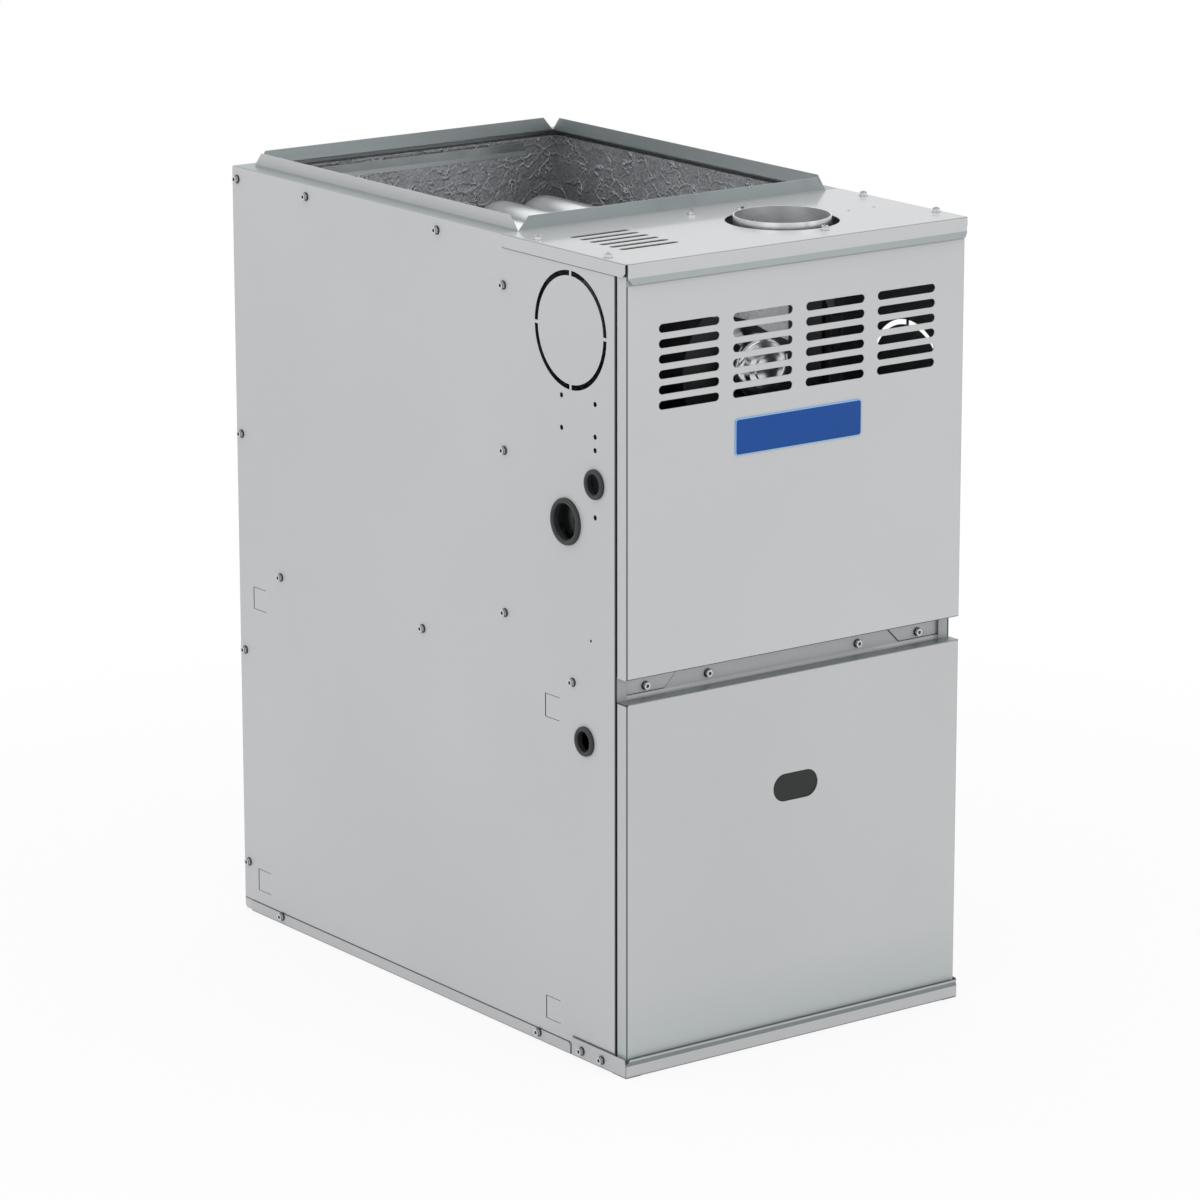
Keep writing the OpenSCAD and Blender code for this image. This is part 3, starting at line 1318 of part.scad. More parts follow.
module blower_side_left() { color("silver") blower_side(); }
module blower_side_right() { color("silver") mirror([1, 0, 0]) blower_side(); }
// forward-curved blade between the wheel's rings
module blade_2d() {
  bow = 18;
  blade_t = 1;
  r_in = wheel_dia / 2 - blade_ring;
  intersection() {
    translate([r_in + 1, bow]) ring_2d(bow, bow - blade_t);
    translate([r_in + 1, 0]) square([bow, bow]);
    circle(wheel_dia / 2 - 0.5);
  }
}
motor_x0 = -160;
module blower_wheel() {
  ring_t = 3;
  shaft_r = shaft_dia / 2;
  color("silver") translate([0, blower_y, blower_z]) {
    for (i = [0:blade_count - 1]) rotate([i * 360 / blade_count, 0, 0])
      along_x(-wheel_w / 2 + 1, wheel_w - 2) blade_2d();
    for (s = [-1, 1]) along_x(s * (wheel_w - ring_t) / 2 - ring_t / 2, ring_t)
      ring_2d(wheel_dia / 2, wheel_dia / 2 - blade_ring);
    rod_x(-1.5, 3, wheel_dia / 2 - 1);
    rod_x(-18, 36, 20);
    rod_x(motor_x0 + 3, 18 - motor_x0, shaft_r);
  }
}
module blower_motor() {
  r = motor_dia / 2;
  color("dimgray") translate([0, blower_y, blower_z]) difference() {
    union() {
      rod_x(motor_x0, 8, r - 14);
      rod_x(motor_x0 + 8, motor_l - 16, r);
      rod_x(motor_x0 + motor_l - 8, 8, r - 20);
    }
    rod_x(motor_x0 - over, motor_l + 2 * over, shaft_dia / 2 + 0.05);
  }
}
module blower_motor_mount() {
  band_r = motor_dia / 2 + fit_gap;
  band_w = 20;
  arm_r = inlet_r + inlet_lip + 8;
  x0 = motor_x0 + 10;
  arm_x = -blower_w / 2 - 7;
  color("dimgray") translate([0, blower_y, blower_z]) {
    translate([x0, 0, 0]) rotate([0, 90, 0]) ring(band_w, band_r + 2, band_r);
    for (a = [90, 210, 330]) rotate([a, 0, 0]) {
      translate([arm_x, band_r + 0.5, -8]) cube([3, arm_r + 6 - band_r, 16]);
      translate([0, arm_r, 0]) rod_x(arm_x, -blower_w / 2 - arm_x, 6);
    }
  }
}

/* -------- control panel -------- */
control_y = front_y + control_depth;
board_gap = 12;
board_t = 1.6;
module control_bracket() {
  w = control_w;
  low = window_z - control_drop;
  color("silver") difference() {
    along_x(-w / 2, w) {
      translate([control_y, deck_under]) mirror([0, 1]) angle_2d(22, deck_under - low - bend_r);
      translate([control_y, low]) angle_2d(14, 2 * bend_r);
    }
    for (x = [-w / 2 + 40, w / 2 - 20], z = [low + 16, low + control_hole_rise])
      translate([x, 0, z]) rod_y(control_y - over, sheet + 2 * over, 5);
  }
}
board_y = control_y - board_gap - board_t;
module control_board() {
  w = 128;
  h = 152;
  lamp = 2.5;
  color("darkgreen") {
    translate([-w / 2, board_y, window_z - h / 2 - 10]) cube([w, board_t, h]);
    for (x = [-w / 2 + 8, w / 2 - 8], z = [window_z - h / 2 - 2, window_z + h / 2 - 18])
      translate([x, 0, z]) rod_y(board_y + board_t, board_gap, 3.5);
    // relays, connector block, terminal strip and status lamp
    for (x = [-44, -16, 12]) translate([x, board_y - 16, window_z + 28]) cube([20, 16, 24]);
    translate([-w / 2 + 8, board_y - 11, window_z - 70]) cube([62, 11, 12]);
    translate([24, board_y - 9, window_z - 72]) cube([30, 9, 22]);
    translate([w / 2 - 22, board_y - 12, window_z - 30]) cube([14, 12, 60]);
    translate([0, 0, window_z]) rod_y(board_y - 8, 8, lamp);
    translate([-30, board_y - 3, window_z - 26]) cube([44, 3, 16]);
  }
}
module transformer() {
  x0 = 78;
  z0 = deck_z - 83.9;
  color("dimgray") translate([x0, control_y, z0]) {
    // core, coil and the feet on the bracket
    translate([0, -34, 8]) cube([44, 34, 42]);
    translate([6, -42, 14]) cube([32, 42, 30]);
    translate([0, -2, 0]) cube([44, 2, 58]);
  }
}
plunger_x = inner_x - 71.35;
plunger_z = deck_z - 28.9;
plunger_r = 2.5;
switch_body_y = front_y + 14;
module door_switch() {
  body = [30, 12, 22];
  plate_y = rail_back_y + sheet;
  color("white") difference() {
    union() {
      translate([plunger_x - body[0] / 2, switch_body_y, plunger_z - body[2] / 2])
        cube([body[0], plate_y - switch_body_y, body[2]]);
      translate([plunger_x - 17, plate_y, plunger_z - 14]) cube([34, 1.2, deck_z - 3 - plunger_z + 14]);
      for (s = [-1, 1]) translate([plunger_x + s * 8 - 3, plate_y, plunger_z - 6]) cube([6, 12, 0.8]);
    }
    translate([plunger_x, 0, plunger_z]) rod_y(switch_body_y - over, 9 + over, plunger_r + 0.05);
  }
}
module door_switch_plunger() {
  tip_y = front_y + door_setback + sheet + 0.3;
  color("gray") translate([plunger_x, 0, plunger_z]) {
    rod_y(tip_y, switch_body_y + 8.5 - tip_y, plunger_r);
    rod_y(tip_y, 1.5, 4);
  }
}

/* -------- doors -------- */
door_y = front_y + door_setback;
door_in_y = door_y + sheet;
upper_door_top = top_in_z - 0.3;
upper_door_z = deck_z + upper_door_rise;
plate_z = cabinet_h - plate_drop;
lower_door_z = sheet + 0.3;
// filled door with rounded front edges, drawn in by the inset
module door_block(z0, z1, inset, r) {
  intersection() {
    translate([0, door_y + inset, z0]) linear_extrude(z1 - z0)
      block_2d(door_w - 2 * inset, door_flange + (inset > 0 ? over : 0), r);
    along_x(-door_w / 2, door_w) translate([door_y + inset, (z0 + z1) / 2]) rotate(-90)
      block_2d(z1 - z0 - 2 * inset, door_flange + (inset > 0 ? over : 0), r);
  }
}
module door_pan(z0, z1) {
  difference() {
    door_block(z0, z1, 0, bend_r);
    door_block(z0, z1, sheet, bend_r - sheet);
  }
}
module upper_door() {
  columns = 4;
  color("silver") difference() {
    door_pan(upper_door_z, upper_door_top);
    along_y(door_y - over, sheet + 2 * over)
      for (i = [0:columns - 1], j = [0:louver_rows - 1])
        translate([(i - (columns - 1) / 2) * louver_pitch_x,
              upper_door_top - louver_drop - j * louver_pitch_z])
          slot_2d(louver_l, louver_h);
  }
}
module lower_door() {
  color("silver") difference() {
    door_pan(lower_door_z, lower_door_top);
    along_y(door_y - over, sheet + 2 * over) translate([0, window_z]) slot_2d(window_w, window_h);
  }
}
module sight_glass() {
  rim = 5;
  color("black") along_y(door_in_y, 2) translate([0, window_z]) slot_2d(window_w + 2 * rim, window_h + 2 * rim);
}
// bare plate on the upper door
module door_plate() {
  plate_t = 0.8;
  color("royalblue") along_y(door_y - plate_t, plate_t) translate([0, plate_z]) plate_2d(plate_w, plate_h, 4);
}

/* -------- screws -------- */
module cabinet_screws() {
  color("silver") {
    for (s = [0, 1]) mirror([s, 0, 0]) {
      for (p = panel_screws) translate([-side_x, front_y + p[0], p[1]]) rotate([0, -90, 0]) screw();
      for (p = rail_screws) translate([-cover_x, front_y + p[0], p[1]]) rotate([0, -90, 0]) screw();
      translate([cross_screw_x[0], rail_front_y, cross_screw_z]) rotate([90, 0, 0]) screw();
      translate([cross_screw_x[1], rail_front_y - sheet, cross_screw_z]) rotate([90, 0, 0]) screw();
    }
    for (p = top_screws) translate([p[0], front_y + p[1], cabinet_h]) screw();
  }
}

left_side_panel();
right_side_panel();
back_panel();
top_plate();
front_base_rail();
left_base_rail();
right_base_rail();
bottom_panel();
vestibule_panel();
blower_deck();
cross_rail();
corner_brackets();
left_liner();
right_liner();
back_liner();
liner_strip();
exchanger_tube_1();
exchanger_tube_2();
exchanger_tube_3();
exchanger_tube_4();
exchanger_tube_5();
exchanger_tube_6();
collector_box();
burner_box();
burners();
gas_manifold();
gas_valve();
gas_valve_knob();
igniter();
flame_sensor();
rollout_switches();
rollout_button_left();
rollout_button_right();
inducer_housing();
inducer_motor();
inducer_wheel();
inducer_fan();
vent_base();
flue_collar();
pressure_switch();
pressure_hose();
limit_switch();
junction_box();
grommets();
cabinet_screws();
blower_scroll();
blower_side_left();
blower_side_right();
blower_wheel();
blower_motor();
blower_motor_mount();
control_bracket();
control_board();
transformer();
door_switch();
door_switch_plunger();
upper_door();
lower_door();
sight_glass();
door_plate();
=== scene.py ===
"""Looks of a forced air gas furnace: finishes, foil skins, studio and camera."""

import logging
import math
from dataclasses import dataclass, field
from enum import Enum
from typing import Iterable, Mapping, Optional, Sequence, Union

import bmesh
import bpy
from mathutils import Matrix, Quaternion, Vector, noise


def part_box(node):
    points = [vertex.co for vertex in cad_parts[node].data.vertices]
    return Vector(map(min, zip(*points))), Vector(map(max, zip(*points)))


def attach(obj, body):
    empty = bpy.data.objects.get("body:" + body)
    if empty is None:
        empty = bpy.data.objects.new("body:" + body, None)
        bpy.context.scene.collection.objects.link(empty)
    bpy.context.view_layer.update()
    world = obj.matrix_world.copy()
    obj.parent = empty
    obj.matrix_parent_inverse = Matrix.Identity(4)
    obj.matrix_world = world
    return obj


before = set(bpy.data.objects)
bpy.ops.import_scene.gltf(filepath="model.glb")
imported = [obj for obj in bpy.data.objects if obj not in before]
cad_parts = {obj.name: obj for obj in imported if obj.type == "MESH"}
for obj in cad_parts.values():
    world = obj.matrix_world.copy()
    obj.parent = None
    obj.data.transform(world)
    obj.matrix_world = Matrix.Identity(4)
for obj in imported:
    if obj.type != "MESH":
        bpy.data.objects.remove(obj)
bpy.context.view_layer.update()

LOG = logging.getLogger("furnace")
MM = 0.001
FAR = 1.0  # metres: beyond every face of the furnace

Colour = tuple[float, float, float]
Point = tuple[float, float, float]
Span = tuple[float, float]
Input = Union[float, int, Sequence[float], "Signal", bpy.types.NodeSocket]
Inputs = Mapping[Union[str, int], Input]
Settings = Mapping[str, object]

BLACK_LIGHT: Colour = (0.0, 0.0, 0.0)
WHITE_LIGHT: Colour = (1.0, 1.0, 1.0)


@dataclass(frozen=True)
class CasingPlanes:
    """Planes of the casing, read from the frame's boxes, in metres."""

    half_width: float = -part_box("left_side_panel")[0][0]
    cover: float = -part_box("top_plate")[0][0]
    duct_top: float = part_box("back_panel")[1][2]
    duct_flange: float = 15 * MM
    rail_front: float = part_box("cross_rail")[0][1]
    rail_side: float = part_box("cross_rail")[1][0]
    bracket_front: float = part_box("corner_brackets")[0][1]
    bracket_foot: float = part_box("corner_brackets")[0][2]
    bracket_inner: float = 150 * MM
    bracket_run: float = 64.35 * MM
    plate_end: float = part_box("top_plate")[1][1]
    lip_low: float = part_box("top_plate")[0][2]
    lip: float = 7 * MM
    panel_front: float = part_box("left_side_panel")[0][1]
    door_front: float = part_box("upper_door")[0][1]
    door_side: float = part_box("upper_door")[1][0]
    door_low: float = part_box("upper_door")[0][2]
    base_front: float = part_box("front_base_rail")[0][1]
    base_side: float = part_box("front_base_rail")[1][0]
    base_top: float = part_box("front_base_rail")[1][2]
    wing_end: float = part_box("front_base_rail")[1][1]
    rail_start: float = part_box("left_base_rail")[0][1]
    rail_top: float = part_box("left_base_rail")[1][2]
    lower_top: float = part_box("lower_door")[1][2]

    @property
    def top(self) -> float:
        """Height of the top plate's face."""
        return self.duct_top - self.duct_flange

    @property
    def middle(self) -> float:
        """Half the casing's height."""
        return self.duct_top / 2

    @property
    def skirt_low(self) -> float:
        """Lower edge of the top plate's side flanges."""
        return self.lip_low + self.lip

    @property
    def bracket_slope(self) -> float:
        """Distance from the middle at which the brackets' slanting edge starts."""
        return self.rail_side - self.bracket_run


PLANES = CasingPlanes()


def above(level: float) -> Span:
    """Everything past a plane."""
    return level, FAR


def below(level: float) -> Span:
    """Everything short of a plane."""
    return -FAR, level


def linear(value: int) -> float:
    """Turns one channel of a colour on screen, 0 to 255, into linear light."""
    level = value / 255
    return level / 12.92 if level <= 0.04045 else ((level + 0.055) / 1.055) ** 2.4


def srgb(red: int, green: int, blue: int) -> Colour:
    """Turns a colour as it is seen on screen into linear light."""
    return linear(red), linear(green), linear(blue)


def shaded(colour: Colour, factor: float) -> Colour:
    """Makes a colour darker or lighter, at most white."""
    return tuple(min(1.0, part * factor) for part in colour)


def link(name: str, data: bpy.types.ID) -> bpy.types.Object:
    """Adds an object to the scene.

    Args:
        name: The object's name.
        data: Its mesh, lamp or camera.

    Returns:
        The object.
    """
    made = bpy.data.objects.new(name, data)
    bpy.context.scene.collection.objects.link(made)
    return made


def mesh_data(name: str, mesh: bmesh.types.BMesh) -> bpy.types.Mesh:
    """Turns a bmesh into mesh data.

    Args:
        name: The data's name.
        mesh: The bmesh, which is freed.

    Returns:
        The mesh data.
    """
    data = bpy.data.meshes.new(name)
    mesh.to_mesh(data)
    mesh.free()
    return data


# --------------------------------------------------------------------------
# Shader maths
# --------------------------------------------------------------------------


@dataclass(frozen=True)
class Cloud:
    """Cloudy pattern: clouds per metre, finer octaves, and factors that lengthen it."""

    scale: float
    detail: float = 2.0
    stretch: Point = (1, 1, 1)


@dataclass
class Signal:
    """A value socket whose operators add Math nodes to its graph."""

    graph: "Graph"
    socket: bpy.types.NodeSocket

    def math(self, operation: str, *others: Input) -> "Signal":
        """Adds a Math node with this value first.

        Args:
            operation: The Math node's operation.
            others: The values that follow this one.

        Returns:
            The node's result.
        """
        values = {0: self.socket, **{i + 1: other for i, other in enumerate(others)}}
        return self.graph.node("ShaderNodeMath", {"operation": operation}, values)

    def reverse(self, operation: str, other: Input) -> "Signal":
        """Adds a Math node with this value second."""
        return self.graph.node("ShaderNodeMath", {"operation": operation}, {0: other, 1: self.socket})

    def __add__(self, other: Input) -> "Signal":
        """Sum."""
        return self.math("ADD", other)

    def __radd__(self, other: Input) -> "Signal":
        """Sum with a number first."""
        return self.reverse("ADD", other)

    def __sub__(self, other: Input) -> "Signal":
        """Difference."""
        return self.math("SUBTRACT", other)

    def __rsub__(self, other: Input) -> "Signal":
        """Difference with a number first."""
        return self.reverse("SUBTRACT", other)

    def __mul__(self, other: Input) -> "Signal":
        """Product."""
        return self.math("MULTIPLY", other)

    def __rmul__(self, other: Input) -> "Signal":
        """Product with a number first."""
        return self.reverse("MULTIPLY", other)

    def __abs__(self) -> "Signal":
        """Size without sign."""
        return self.math("ABSOLUTE")

    def at_least(self, other: Input) -> "Signal":
        """The larger of two values."""
        return self.math("MAXIMUM", other)

    def at_most(self, other: Input) -> "Signal":
        """The smaller of two values."""
        return self.math("MINIMUM", other)

    def root(self) -> "Signal":
        """Square root."""
        return self.math("SQRT")

    def swing(self, amount: float) -> "Signal":
        """Turns a value from 0 to 1 into one about zero, an amount from end to end."""
        return (self - 0.5) * amount

    def step(self, low: float, high: float) -> "Signal":
        """Rises smoothly with this value.

        Args:
            low: Where the rise starts, at 0.
            high: Where it ends, at 1.

        Returns:
            The risen value.
        """
        return self.graph.node(
            "ShaderNodeMapRange",
            {"interpolation_type": "SMOOTHSTEP"},
            {"Value": self.socket, "From Min": low, "From Max": high},
        )

    def between(self, low: float, high: float, soft: float) -> "Signal":
        """1 where this value lies between two limits.

        Args:
            low: The lower limit.
            high: The upper limit.
            soft: Half the width of the change at each limit.

        Returns:
            The mask.
        """
        return self.step(low - soft, low + soft) * (1 - self.step(high - soft, high + soft))


class Graph:
    """Node graph of a material or of the world."""

    def __init__(self, owner: Union[bpy.types.Material, bpy.types.World]) -> None:
        """Starts with an empty graph.

        Args:
            owner: The material or world that the nodes belong to.
        """
        owner.use_nodes = True
        self.owner = owner
        self.tree = owner.node_tree
        self.tree.nodes.clear()
        self.coordinates: Optional[bpy.types.Node] = None

    @classmethod
    def of_material(cls, name: str) -> "Graph":
        """Starts a new material."""
        return cls(bpy.data.materials.new(name))

    def make(self, kind: str, settings: Settings, inputs: Inputs) -> bpy.types.Node:
        """Adds a node.

        Args:
            kind: The node's type.
            settings: Properties, set before the sockets.
            inputs: Values or links by socket name or number.

        Returns:
            The node.
        """
        made = self.tree.nodes.new(kind)
        for key, value in settings.items():
            setattr(made, key, value)
        for key, value in inputs.items():
            socket = made.inputs[key]
            if isinstance(value, Signal):
                self.tree.links.new(value.socket, socket)
            elif isinstance(value, bpy.types.NodeSocket):
                self.tree.links.new(value, socket)
            elif socket.type == "RGBA":
                socket.default_value = (*value, 1.0)
            else:
                socket.default_value = value
        return made

    def node(self, kind: str, settings: Settings, inputs: Inputs, output: Union[str, int] = 0) -> Signal:
        """Adds a node and takes one of its outputs.

        Args:
            kind: The node's type.
            settings: Properties, set before the sockets.
            inputs: Values or links by socket name or number.
            output: The output's name or number.

        Returns:
            The output.
        """
        return Signal(self, self.make(kind, settings, inputs).outputs[output])

    def parts(self, vector: Signal) -> tuple[Signal, Signal, Signal]:
        """The three numbers of a vector."""
        split = self.make("ShaderNodeSeparateXYZ", {}, {0: vector})
        return tuple(Signal(self, out) for out in split.outputs)

    def place(self, scale: Point = (1, 1, 1), offset: Point = (0, 0, 0)) -> Signal:
        """Object coordinates, moved and scaled.

        Args:
            scale: Factor along each axis.
            offset: Shift in metres, before the scale.

        Returns:
            The coordinates.
        """
        if self.coordinates is None:
            self.coordinates = self.make("ShaderNodeTexCoord", {}, {})
        moved = tuple(-o * s for o, s in zip(offset, scale))
        source = self.coordinates.outputs["Object"]
        return self.node("ShaderNodeMapping", {}, {"Vector": source, "Location": moved, "Scale": scale})

    def noise(self, cloud: Cloud) -> Signal:
        """A cloudy pattern's value, 0 to 1."""
        inputs = {"Vector": self.place(cloud.stretch), "Scale": cloud.scale, "Detail": cloud.detail}
        return self.node("ShaderNodeTexNoise", {}, inputs)

    def spangle(self, scale: float) -> Signal:
        """Pattern of flat cells.

        Args:
            scale: Cells per metre, about.

        Returns:
            One random value per cell, 0 to 1.
        """
        cells = self.node("ShaderNodeTexVoronoi", {}, {"Vector": self.place(), "Scale": scale}, "Color")
        return self.node("ShaderNodeSeparateColor", {}, {0: cells})

    def axes(self) -> tuple[Signal, Signal, Signal]:
        """Object coordinates as three values."""
        return self.parts(self.place())

    def normal(self) -> Signal:
        """The surface's normal."""
        return self.node("ShaderNodeNewGeometry", {}, {}, "Normal")

    def facing(self) -> tuple[Signal, Signal, Signal]:
        """Sizes of the normal's three parts."""
        return tuple(abs(part) for part in self.parts(self.normal()))

    def painted(self) -> Signal:
        """Tells the sheets' two sides apart.

        Returns:
            1 on the outer side, 0 on the side that faces the casing's inside.
        """
        arm = self.place(offset=(0, 0, PLANES.middle))
        ends = {0: self.normal(), 1: arm}
        along = self.node("ShaderNodeVectorMath", {"operation": "DOT_PRODUCT"}, ends, "Value")
        return along.step(-4 * MM, 4 * MM)

    def folds(self) -> Signal:
        """1 on the rounded folds of the sheets and 0 on their flat faces."""
        x, y, z = self.facing()
        return 1 - x.at_least(y).at_least(z).step(0.8, 0.97)

    def mix(self, factor: Input, first: Input, second: Input) -> Signal:
        """Mixes two colours.

        Args:
            factor: 0 for the first, 1 for the second.
            first: The first colour.
            second: The second colour.

        Returns:
            The mixed colour.
        """
        colours = {"Factor": factor, 6: first, 7: second}
        return self.node("ShaderNodeMix", {"data_type": "RGBA"}, colours, 2)

    def shades(self, factor: Input, colour: Colour, spread: Span) -> Signal:
        """Mixes two shades of one colour.

        Args:
            factor: 0 for the first shade, 1 for the second.
            colour: The colour.
            spread: Brightness of the two shades, 1 for the colour itself.

        Returns:
            The mixed colour.
        """
        return self.mix(factor, *(shaded(colour, level) for level in spread))

    def bump(self, height: Signal, strength: float, distance: float = 0.2 * MM) -> Signal:
        """Turns a height into a normal.

        Args:
            height: Height in units of the distance.
            strength: How much of the relief shows, 0 to 1.
            distance: Depth of the relief in metres.

        Returns:
            The normal.
        """
        inputs = {"Height": height, "Strength": strength, "Distance": distance}
        return self.node("ShaderNodeBump", {}, inputs)

    def surface(self, **inputs: Input) -> bpy.types.Material:
        """Ends the graph in a Principled shader.

        Args:
            inputs: Socket values, with _ in place of a space.

        Returns:
            The material.
        """
        named = {key.replace("_", " "): value for key, value in inputs.items()}
        shader = self.make("ShaderNodeBsdfPrincipled", {}, named)
        self.make("ShaderNodeOutputMaterial", {}, {"Surface": shader.outputs[0]})
        return self.owner


# --------------------------------------------------------------------------
# Finishes
# --------------------------------------------------------------------------


class Axis(Enum):
    """The frame's axes, as places in a vector."""

    X = 0
    Y = 1
    Z = 2


@dataclass(frozen=True)
class Zone:
    """Box in the casing, alike on both sides, in which painted shade and light replace the paint's colour.
    """

    colour: Colour
    x: Optional[Span] = None
    y: Optional[Span] = None
    z: Optional[Span] = None
    soft: float = 0.3 * MM
    cut: Optional[Axis] = None

    def mask(self, graph: Graph) -> Signal:
        """Finds the zone, or only the cut edges in it where it names the sheet's axis.

        Args:
            graph: The material's graph.

        Returns:
            1 inside the zone.
        """
        x, y, z = graph.axes()
        limits = ((abs(x), self.x), (y, self.y), (z, self.z))
        parts = [value.between(*span, self.soft) for value, span in limits if span]
        if self.cut is not None:
            parts.append(1 - graph.facing()[self.cut.value].step(0.3, 0.7))
        mask = parts[0]
        for part in parts[1:]:
            mask = mask * part
        return mask


@dataclass(frozen=True)
class SheetEnamel:
    """Baked enamel on the outside of sheet steel, bare zinc on its inside."""

    name: str
    colour: Colour
    roughness: float = 0.4
    peel: float = 0.05
    coat: float = 0.0
    coat_roughness: float = 0.12
    bare: Colour = srgb(156, 163, 164)
    bare_spread: Span = (0.9, 1.1)
    bare_metallic: float = 0.75
    # boxes and cut edges with painted shade and light
    light_and_shade_zones: tuple[Zone, ...] = ()
    cut_light_and_shade: tuple[Zone, ...] = ()
    spread: Span = (0.975, 1.02)
    dusty: float = 0.93
    # share and depth of the painted shade along the folds
    fold_shade_share: float = 0.55
    fold_shade: float = 0.3
    drift: Cloud = Cloud(2.2)
    fine: Cloud = Cloud(900.0)
    dust: Cloud = Cloud(11.0, 4.0)
    rolled: Cloud = Cloud(160.0, 3.0, (0.06, 0.06, 1))

    def material(self) -> bpy.types.Material:
        """Builds the material, with painted shade on its folds and painted shade and light in zones and
        cuts.

        Returns:
            The material.
        """
        graph = Graph.of_material(self.name)
        drift = graph.noise(self.drift)
        fine = graph.noise(self.fine)
        dust = graph.noise(self.dust)
        rolled = graph.noise(self.rolled)
        colour = graph.shades(drift.step(0.3, 0.7), self.colour, self.spread)
        colour = graph.mix(dust.step(0.55, 0.8) * 0.25, colour, shaded(self.colour, self.dusty))
        # painted shade along the rounded folds of the sheets
        colour = graph.mix(graph.folds() * self.fold_shade_share, colour, shaded(self.colour, self.fold_shade))
        # painted shade and light in the zones
        for zone in self.light_and_shade_zones:
            colour = graph.mix(zone.mask(graph), colour, zone.colour)
        outside = graph.painted()
        colour = graph.mix(outside, graph.shades(rolled, self.bare, self.bare_spread), colour)
        metallic = self.bare_metallic * (1 - outside)
        # painted shade and light on the cut edges, which are not metallic
        for cut in self.cut_light_and_shade:
            edge = cut.mask(graph)
            colour = graph.mix(edge, colour, cut.colour)
            metallic = metallic * (1 - edge)
        return graph.surface(
            Base_Color=colour,
            Metallic=metallic,
            Roughness=self.roughness + fine.swing(0.06) + drift.swing(0.05) + dust.swing(0.04),
            Coat_Weight=outside * self.coat if self.coat else 0.0,
            Coat_Roughness=self.coat_roughness,
            Normal=graph.bump(fine, self.peel),
        )


@dataclass(frozen=True)
class ScrewZinc:
    """Bright hexagon heads with painted shade on their washers and in their recess.

    The depths are measured from the sheet that a head sits on. The sheet is found
    from where the head stands: side panels, base wings, top plate, rail or brackets.
    """

    name: str
    colour: Colour
    shade: Colour
    washer: float = 0.95 * MM
    recess: Span = (3.6 * MM, 4.0 * MM)
    wing_top: Span = (21 * MM, 23 * MM)
    bracket_run: float = 5 * MM
    # share by which the washers' painted shade is lifted on the top plate
    lit: float = 0.85
    soft: float = 0.06 * MM
    spread: Span = (0.85, 1.12)
    wear: Cloud = Cloud(260.0, 3.0)

    def material(self) -> bpy.types.Material:
        """Builds the material, with the washers' painted shade lighter on the top plate, which more light
        reaches.

        Returns:
            The material.
        """
        graph = Graph.of_material(self.name)
        x, y, z = graph.axes()
        low_wing = 1 - z.step(*self.wing_top)
        side = abs(x) - PLANES.half_width - low_wing * (PLANES.cover - PLANES.half_width)
        bracket = abs(x).step(PLANES.bracket_inner, PLANES.bracket_inner + self.bracket_run)
        seat = PLANES.rail_front + bracket * (PLANES.bracket_front - PLANES.rail_front)
        depth = side.at_least(z - PLANES.top).at_least(seat - y)
        lit = z.step(PLANES.top - 1 * MM, PLANES.top) * self.lit
        # painted shade on the washers and in the recess
        washer = (1 - depth.step(self.washer - self.soft, self.washer + self.soft)) * (1 - lit)
        dark = washer.at_least(depth.between(*self.recess, self.soft))
        wear = graph.noise(self.wear)
        return graph.surface(
            Base_Color=graph.mix(dark, graph.shades(wear, self.colour, self.spread), self.shade),
            Metallic=0.95,
            Roughness=0.26 + wear.swing(0.2),
            Normal=graph.bump(wear, 0.1),
        )


@dataclass(frozen=True)
class ZincSheet:
    """Galvanised sheet with its frost-like spangle."""

    name: str
    colour: Colour
    roughness: float = 0.36
    spangle: float = 95.0
    contrast: float = 0.1
    metallic: float = 0.7
    # colour of the painted shadow lines
    line: Colour = srgb(64, 67, 69)
    drift: Cloud = Cloud(3.0)
    scratch: Cloud = Cloud(220.0, 3.0, (1, 0.05, 0.05))

    def edges(self, graph: Graph) -> Input:
        """1 along the painted shadow lines round pieces that lie on the sheet; a plain sheet has none."""
        return 0.0

    def painted_glow(self, graph: Graph) -> Input:
        """Painted glow standing in for light thrown back into a narrow gap; a plain sheet has none."""
        return BLACK_LIGHT

    def material(self) -> bpy.types.Material:
        """Builds the material.

        Returns:
            The material.
        """
        graph = Graph.of_material(self.name)
        flake = graph.spangle(self.spangle)
        drift = graph.noise(self.drift)
        scratch = graph.noise(self.scratch)
        spread = (1 - self.contrast, 1 + self.contrast)
        zinc = graph.shades(flake * 0.75 + drift * 0.25, self.colour, spread)
        # painted shadow lines round pieces on the sheet and a painted glow in narrow gaps
        return graph.surface(
            Base_Color=graph.mix(self.edges(graph), zinc, self.line),
            Metallic=self.metallic,
            Emission_Color=self.painted_glow(graph),
            Emission_Strength=1.0,
            Roughness=self.roughness + flake.swing(0.14) + scratch.swing(0.08),
            Normal=graph.bump(scratch, 0.04),
        )


